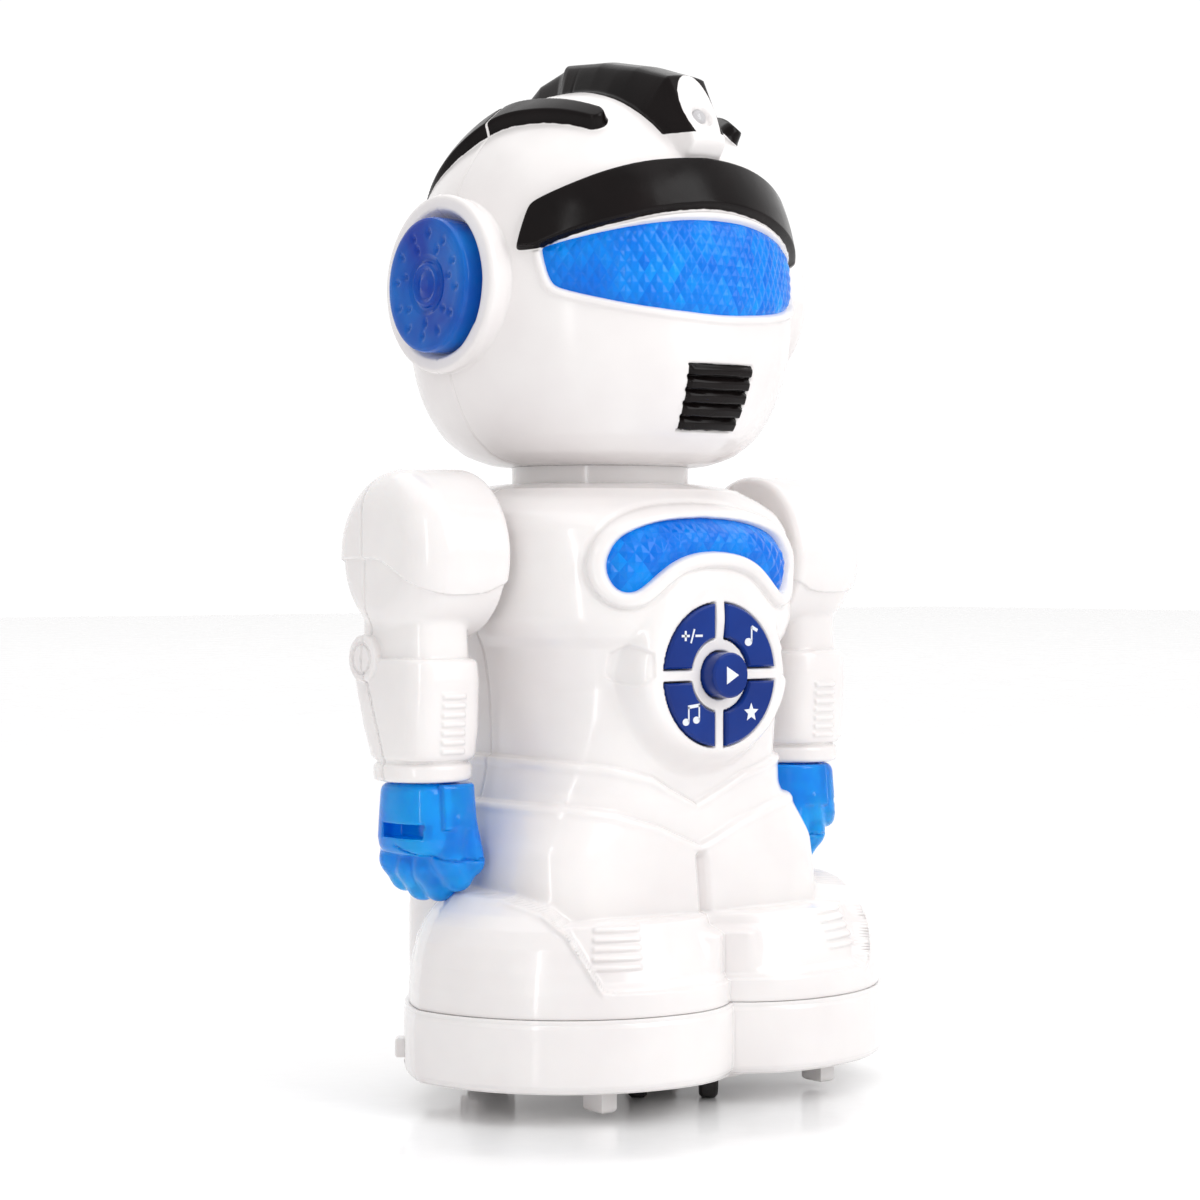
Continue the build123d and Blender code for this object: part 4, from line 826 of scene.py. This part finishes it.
def build_skirt():
    """Rounded outside wall of the base, just outside the base pan."""
    cols = 900
    turn = np.linspace(-math.pi, math.pi, cols, endpoint=False)
    reach = base_reach(turn)
    section = [(-3.0, 7.55), (-1.6, 7.6), (-0.7, 7.95), (-0.1, 8.8), (0.2, 10.0), (0.35, 14.0), (0.35, 21.5),
               (0.25, 22.9), (-0.1, 23.7), (-0.7, 24.2), (-1.6, 24.4), (-4.0, 24.45)]
    fine = curve_through(section, 70)
    grid = np.stack([np.stack([np.sin(turn) * (reach + out), FRONT_Y - np.cos(turn) * (reach + out),
                               np.full(cols, z)], axis=-1) for out, z in fine])
    # opening for the switch at the rear right
    points = grid.reshape(-1, 3)
    faces = grid_faces(len(fine), cols, True)
    low, high = (np.array(corner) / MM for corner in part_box("power_switch_knob"))
    high = high + np.array([2.5, 3.2, 0.0])  # the knob's 4 mm of travel
    middle = points[faces].mean(axis=1)
    by_switch = ((middle[:, 0] > low[0] - 2) & (middle[:, 0] < high[0] + 2)
                 & (middle[:, 1] > low[1] - 2) & (middle[:, 1] < high[1] + 2)
                 & (middle[:, 2] > low[2] - 0.6) & (middle[:, 2] < high[2] + 0.6))
    new_object("base_skirt", points, faces[~by_switch], WHITE, "body")


# ---- arms ----
def superellipse(x, y, a, b, power):
    """Roughly the distance to a superellipse's edge."""
    size = (np.abs(x / a)**power + np.abs(y / b)**power)**(1 / power)
    return (size - 1.0) * np.minimum(a, b)


def arm_field(m, y, z):
    """Distance field of an arm; m is the distance from the middle plane, y is from the head axis."""
    # round shoulder cap with a softly rounded outer face
    across = np.hypot(y + 4.0, z - SHOULDER_Z)
    inner, outer, corner = 45.4, 69.5, 8.5
    rounded = np.where(m > 57.0, corner, 1.6)
    dx = np.where(m > 57.0, m - (outer - rounded), (inner + rounded) - m)
    dr = across - (SHOULDER_R - rounded)
    cap = np.hypot(np.maximum(dx, 0), np.maximum(dr, 0)) + np.minimum(np.maximum(dx, dr), 0) - rounded
    plate = soft_min(np.maximum(cap - 0.75, np.maximum(118.5 + 0.45 * np.abs(m - 58) - z, -y - 40)), cap, 0.4)
    arch = 121.0 + 7.0 * smooth(-24.0, -2.0, y) + 0.012 * (m - 58)**2
    cap = np.where(z > arch, soft_min(plate, cap, 0.2), cap)
    # upper arm
    lean = np.interp(z, [78, 84, 101, 106, 130], [-6.6, -6.6, -4.1, -3.6, -3.4])
    half_x = np.interp(z, [78, 84, 90, 101, 106, 120], [11.2, 10.9, 10.9, 11.1, 10.9, 10.4])
    half_y = np.interp(z, [78, 84, 90, 101, 106, 120], [11.3, 12.2, 13.2, 15.5, 15.4, 15.0])
    power = np.interp(z, [78, 83, 90, 120], [2.2, 2.6, 3.4, 3.4])
    column = superellipse(m - ARM_X, y - lean, half_x, half_y, power)
    upper = np.maximum(column + 1.5, np.maximum(100.0 - z, z - 126.0))
    gauntlet = soft_max(column, np.maximum(82.2 - z, z - 106.3), 1.6)
    from_wrist = np.hypot(m - ARM_X, y + 6.6)
    cuff = soft_max(from_wrist - 11.6, np.maximum(77.3 - z, z - 81.6), 1.4)
    neck = np.maximum(from_wrist - 10.6, np.maximum(78.0 - z, z - 84.0))
    d = soft_min(cap, upper, 0.8)
    d = soft_min(d, gauntlet, 0.3)
    d = np.minimum(np.minimum(d, cuff), neck)
    # elbow boss on the outer face, with a ring cut into it
    from_elbow = np.hypot(y - 1.9, z - 106.0)
    boss = soft_max(from_elbow - 5.6, np.abs(m - 66.0) - 4.1, 0.8)
    d = soft_min(d, boss, 0.3)
    d = np.maximum(d, -np.maximum(np.abs(from_elbow - 3.6) - 0.35, 69.6 - m))
    # seven ribs on the front of the forearm
    rib_pitch = 2.15
    rib_z = (z - 84.6) / rib_pitch
    rib = np.abs(rib_z - np.clip(np.round(rib_z), 0, 6)) * rib_pitch - 0.62
    rib = np.maximum(rib, np.abs(m - 58.2) - 3.3)
    rib = soft_max(rib, column - 0.5, 0.4)
    rib = np.maximum(rib, y + 10)
    d = soft_min(d, rib, 0.3)
    # parting line of the arm's halves
    part = np.interp(z, [78, 84, 104, 112, 150], [-7.0, -5.6, 2.2, 1.6, 1.6])
    groove = np.maximum(np.abs(y - part) - 0.28, -d - 0.5)
    return np.maximum(d, -groove)


def capsule(x, y, z, a, b, radius):
    """Distance to a round-ended bar from a to b."""
    a, b = np.array(a, float), np.array(b, float)
    e = b - a
    t = np.clip(((x - a[0]) * e[0] + (y - a[1]) * e[1] + (z - a[2]) * e[2]) / (e @ e), 0, 1)
    return np.sqrt((x - a[0] - t * e[0])**2 + (y - a[1] - t * e[1])**2 + (z - a[2] - t * e[2])**2) - radius


def hand_field(m, y, z):
    """Distance field of a half-closed hand hanging from the cuff."""
    half_x = np.interp(z, [58, 64, 70, 77], [8.4, 9.2, 9.0, 8.6])
    half_y = np.interp(z, [58, 64, 70, 77], [10.0, 10.9, 10.4, 9.8])
    palm = soft_max(superellipse(m - ARM_X - 0.2, y + 6.9, half_x, half_y, 2.7),
                    np.maximum(60.0 - z, z - 77.0), 2.5)
    d = palm
    for k in range(4):
        along = k * 5.0
        foot = (51.2, 48.6, 48.5, 50.4)[k] + 4.1
        m0, y0 = 56.0 + 1.3 * k, -14.6 + along
        finger = capsule(m, y, z, (m0, y0, 68.0), (m0 + 0.8, y0, foot + 4.0), 4.2)
        tip = capsule(m, y, z, (m0 + 0.8, y0, foot + 4.0), (m0 - 2.2, y0 + 0.6, foot), 4.1)
        d = soft_min(d, soft_min(finger, tip, 1.0), 0.9)
    thumb = capsule(m, y, z, (53.0, -13.6, 70.0), (51.2, -15.2, 58.4), 3.9)
    d = soft_min(d, thumb, 0.9)
    # plate on the back of the hand, and a slot for things to hold
    plate = soft_max(superellipse(m - ARM_X + 1.0, y + 7.2, half_x + 0.9, half_y + 0.9, 2.8),
                     np.maximum(np.maximum(66.2 - z, z - 76.8), np.maximum(m - 60.5, y + 8.0)), 0.8)
    d = soft_min(d, plate, 0.3)
    slot = np.maximum(np.maximum(np.abs(z - 65.9) - 1.7, np.abs(y + 9.6) - 6.4), 62.0 - m)
    d = np.maximum(d, -slot)
    crease = np.maximum(np.abs(z - 62.6 - 0.35 * (y + 8)) - 0.25, y + 8.0)
    return np.maximum(d, -np.maximum(crease, -d - 0.5))


def build_arms():
    arm_points, arm_quads = surface_net(arm_field, (44.5, -26.0, 76.5), (71.5, 19.0, 152.5), 0.5)
    hand_points, hand_quads = surface_net(hand_field, (44.5, -24.0, 46.5), (71.0, 9.0, 78.5), 0.42)
    for side, name in ((-1, "right"), (1, "left")):
        for part, points, quads, material, nodes in (
                ("arm_shell", arm_points, arm_quads, WHITE, ("_arm_front_shell", "_arm_back_shell")),
                ("fist", hand_points, hand_quads, AZURE, ("_hand",))):
            placed = points * np.array([side, 1, 1]) + np.array([0, CY, 0])
            turned = quads if side > 0 else quads[:, ::-1]
            piece = new_object(name + "_" + part, placed, turned, material, name + "_arm")
            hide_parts(*[name + node for node in nodes])


# ---- signs on the buttons ----
def flat_sign(name, body, polygons, centre, y):
    """Thin printed shapes on a button's face: each polygon is a list of corners."""
    verts, faces = [], []
    for polygon in polygons:
        start = len(verts)
        verts += [(centre[0] + px, y, centre[1] + pz) for px, pz in polygon]
        faces.append(list(range(start, len(verts))))
    mesh = bpy.data.meshes.new(name)
    mesh.from_pydata([tuple(c * MM for c in v) for v in verts], [], faces)
    obj = bpy.data.objects.new(name, mesh)
    bpy.context.scene.collection.objects.link(obj)
    mesh.materials.append(SYMBOL)
    solid = obj.modifiers.new("thick", "SOLIDIFY")
    solid.thickness = 0.12 * MM
    solid.offset = 0.0
    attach(obj, body)


def bar(x0, z0, x1, z1, width):
    """A straight stroke as four corners."""
    length = math.hypot(x1 - x0, z1 - z0)
    ox, oz = -(z1 - z0) / length * width / 2, (x1 - x0) / length * width / 2
    return [(x0 + ox, z0 + oz), (x0 - ox, z0 - oz), (x1 - ox, z1 - oz), (x1 + ox, z1 + oz)]


def disc(x, z, radius, stretch=1.0, count=20):
    """A filled circle's corners, widened sideways by stretch."""
    return [(x + radius * stretch * math.cos(t), z + radius * math.sin(t))
            for t in np.linspace(0, 2 * math.pi, count, endpoint=False)]


def star(radius, points=5):
    """A star's corners, one point upwards."""
    corners = []
    for k in range(points * 2):
        reach = radius if k % 2 == 0 else radius * 0.45
        turn = math.pi / 2 + k * math.pi / points
        corners.append((reach * math.cos(turn), reach * math.sin(turn)))
    return corners


def build_signs():
    reach = (RING_OUT + RING_IN) / 2 / math.sqrt(2)
    face = BUTTON_Y - 0.05
    note = [disc(-0.9, -1.5, 0.95, 1.2), bar(0.1, -1.4, 0.1, 2.2, 0.42), bar(0.1, 2.1, 1.9, 1.2, 0.8)]
    pair = [disc(-1.9, -1.7, 0.85, 1.2), disc(1.3, -1.3, 0.85, 1.2), bar(-1.05, -1.6, -1.05, 1.9, 0.4),
            bar(2.15, -1.2, 2.15, 2.3, 0.4), bar(-1.25, 1.8, 2.35, 2.2, 0.8)]
    plus_minus = [bar(-3.2, 0.2, -0.8, 0.2, 0.55), bar(-2.0, -1.0, -2.0, 1.4, 0.55),
                  bar(-0.4, -1.5, 0.7, 1.8, 0.45), bar(1.0, 0.2, 3.2, 0.2, 0.55)]
    flat_sign("sign_volume", "upper_right_button", plus_minus, (-reach, RING_Z + reach), face)
    flat_sign("sign_note", "upper_left_button", note, (reach, RING_Z + reach), face)
    flat_sign("sign_notes", "lower_right_button", pair, (-reach, RING_Z - reach), face)
    flat_sign("sign_star", "lower_left_button", [star(2.3)], (reach, RING_Z - reach), face)
    arrow = [[(-1.5, -2.1), (2.2, 0.0), (-1.5, 2.1)]]
    flat_sign("sign_go", "centre_button", arrow, (0.0, RING_Z), CENTRE_Y - 0.05)


# ---- finishes of the pieces that stay as modelled in CAD ----
NODE_FINISH = {
    WHITE: ["power_switch_knob", "base_pan", "battery_door", "neck_ring", "drive_turret"],
    BLACK: ["loudspeaker", "battery_box", "turret_retainer", "button_pad", "power_switch_body",
            "drive_wheel_hubs"],
    RUBBER: ["drive_tyres", "rear_roller_right", "rear_roller_left"],
    BLUE_BUTTON: ["centre_button", "upper_right_button", "upper_left_button", "lower_right_button",
                  "lower_left_button"],
    CLEAR: ["crest_led"],
    STEEL: ["body_screws", "board_screws", "battery_contacts", "base_screws", "roller_pins", "gearbox_screws",
            "drive_axle", "door_screw", "head_screws", "right_arm_screws", "left_arm_screws", "batteries",
            "drive_motor"],
    BOARD: ["main_board", "chest_lamp_board", "head_lamp_board"],
    GREY: ["gearbox_housing", "right_shoulder_pin", "left_shoulder_pin"],
}


def finish_nodes():
    for material, names in NODE_FINISH.items():
        for name in names:
            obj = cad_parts[name]
            obj.data.materials.clear()
            obj.data.materials.append(material)


# ---- studio ----
def build_studio():
    material, nodes, links, shader = node_material("pale_floor")
    place = nodes.new("ShaderNodeTexCoord").outputs["Object"]
    cloud = spread(nodes, links, noise(nodes, links, place, 3.0), 0.0, 1.0)
    links.new(mix_colour(nodes, links, cloud, (0.97, 0.97, 0.97, 1), (0.94, 0.94, 0.945, 1)),
              shader.inputs["Base Color"])
    links.new(spread(nodes, links, noise(nodes, links, place, 30.0), 0.10, 0.16), shader.inputs["Roughness"])
    add_bump(nodes, links, shader, [(noise(nodes, links, place, 60.0), 0.00006)])
    bpy.ops.mesh.primitive_plane_add(size=12.0, location=(0, 0, 0))
    floor = bpy.context.object
    floor.name = "floor"
    floor.data.materials.append(material)

    # white room behind the toy as the photograph looks at it, softer grey elsewhere
    world = bpy.data.worlds.new("studio")
    bpy.context.scene.world = world
    world.use_nodes = True
    nodes, links = world.node_tree.nodes, world.node_tree.links
    place = nodes.new("ShaderNodeTexCoord").outputs["Generated"]
    towards = nodes.new("ShaderNodeVectorMath")
    towards.operation = "DOT_PRODUCT"
    links.new(place, towards.inputs[0])
    towards.inputs[1].default_value = (math.sin(VIEW), math.cos(VIEW), 0.0)
    strength = nodes.new("ShaderNodeMapRange")
    strength.interpolation_type = "SMOOTHSTEP"
    strength.inputs["From Min"].default_value = 0.1
    strength.inputs["From Max"].default_value = 0.8
    strength.inputs["To Min"].default_value = 0.74
    strength.inputs["To Max"].default_value = 1.05
    links.new(towards.outputs["Value"], strength.inputs["Value"])
    background = nodes["Background"]
    background.inputs["Color"].default_value = (1.0, 0.995, 0.995, 1)
    links.new(strength.outputs["Result"], background.inputs["Strength"])

    def softbox(name, place, aim, size, power):
        light = bpy.data.lights.new(name, "AREA")
        light.shape = "RECTANGLE"
        light.size, light.size_y = size
        light.energy = power
        obj = bpy.data.objects.new(name, light)
        bpy.context.scene.collection.objects.link(obj)
        obj.location = place
        obj.rotation_euler = direction(place, aim)

    softbox("key", (0.45, -1.15, 0.85), (0, 0, 0.13), (0.8, 1.1), 8.5)
    softbox("strip", (-0.98, -0.66, 0.45), (0, 0, 0.15), (0.07, 1.1), 1.7)
    softbox("top", (0.1, 0.1, 1.3), (0, 0, 0.1), (1.6, 1.6), 6.5)


def direction(place, aim):
    from mathutils import Vector
    return (Vector(aim) - Vector(place)).to_track_quat("-Z", "Y").to_euler()


def build_camera():
    azimuth, distance, eye, lens = VIEW, 0.7375, 0.1281, 88.5
    drop = 0.00875
    camera = bpy.data.cameras.new("camera")
    camera.lens = lens
    camera.sensor_width = 36.0
    obj = bpy.data.objects.new("camera", camera)
    bpy.context.scene.collection.objects.link(obj)
    obj.location = (-distance * math.sin(azimuth), -distance * math.cos(azimuth) + CY * MM, eye)
    obj.rotation_euler = direction(obj.location, (0, CY * MM, eye - drop))
    bpy.context.scene.camera = obj
    bpy.context.scene.view_settings.view_transform = "Standard"


build_head()
build_visor()
build_ears()
build_body()
build_chest_window()
build_skirt()
build_arms()
build_signs()
finish_nodes()
build_studio()
build_camera()
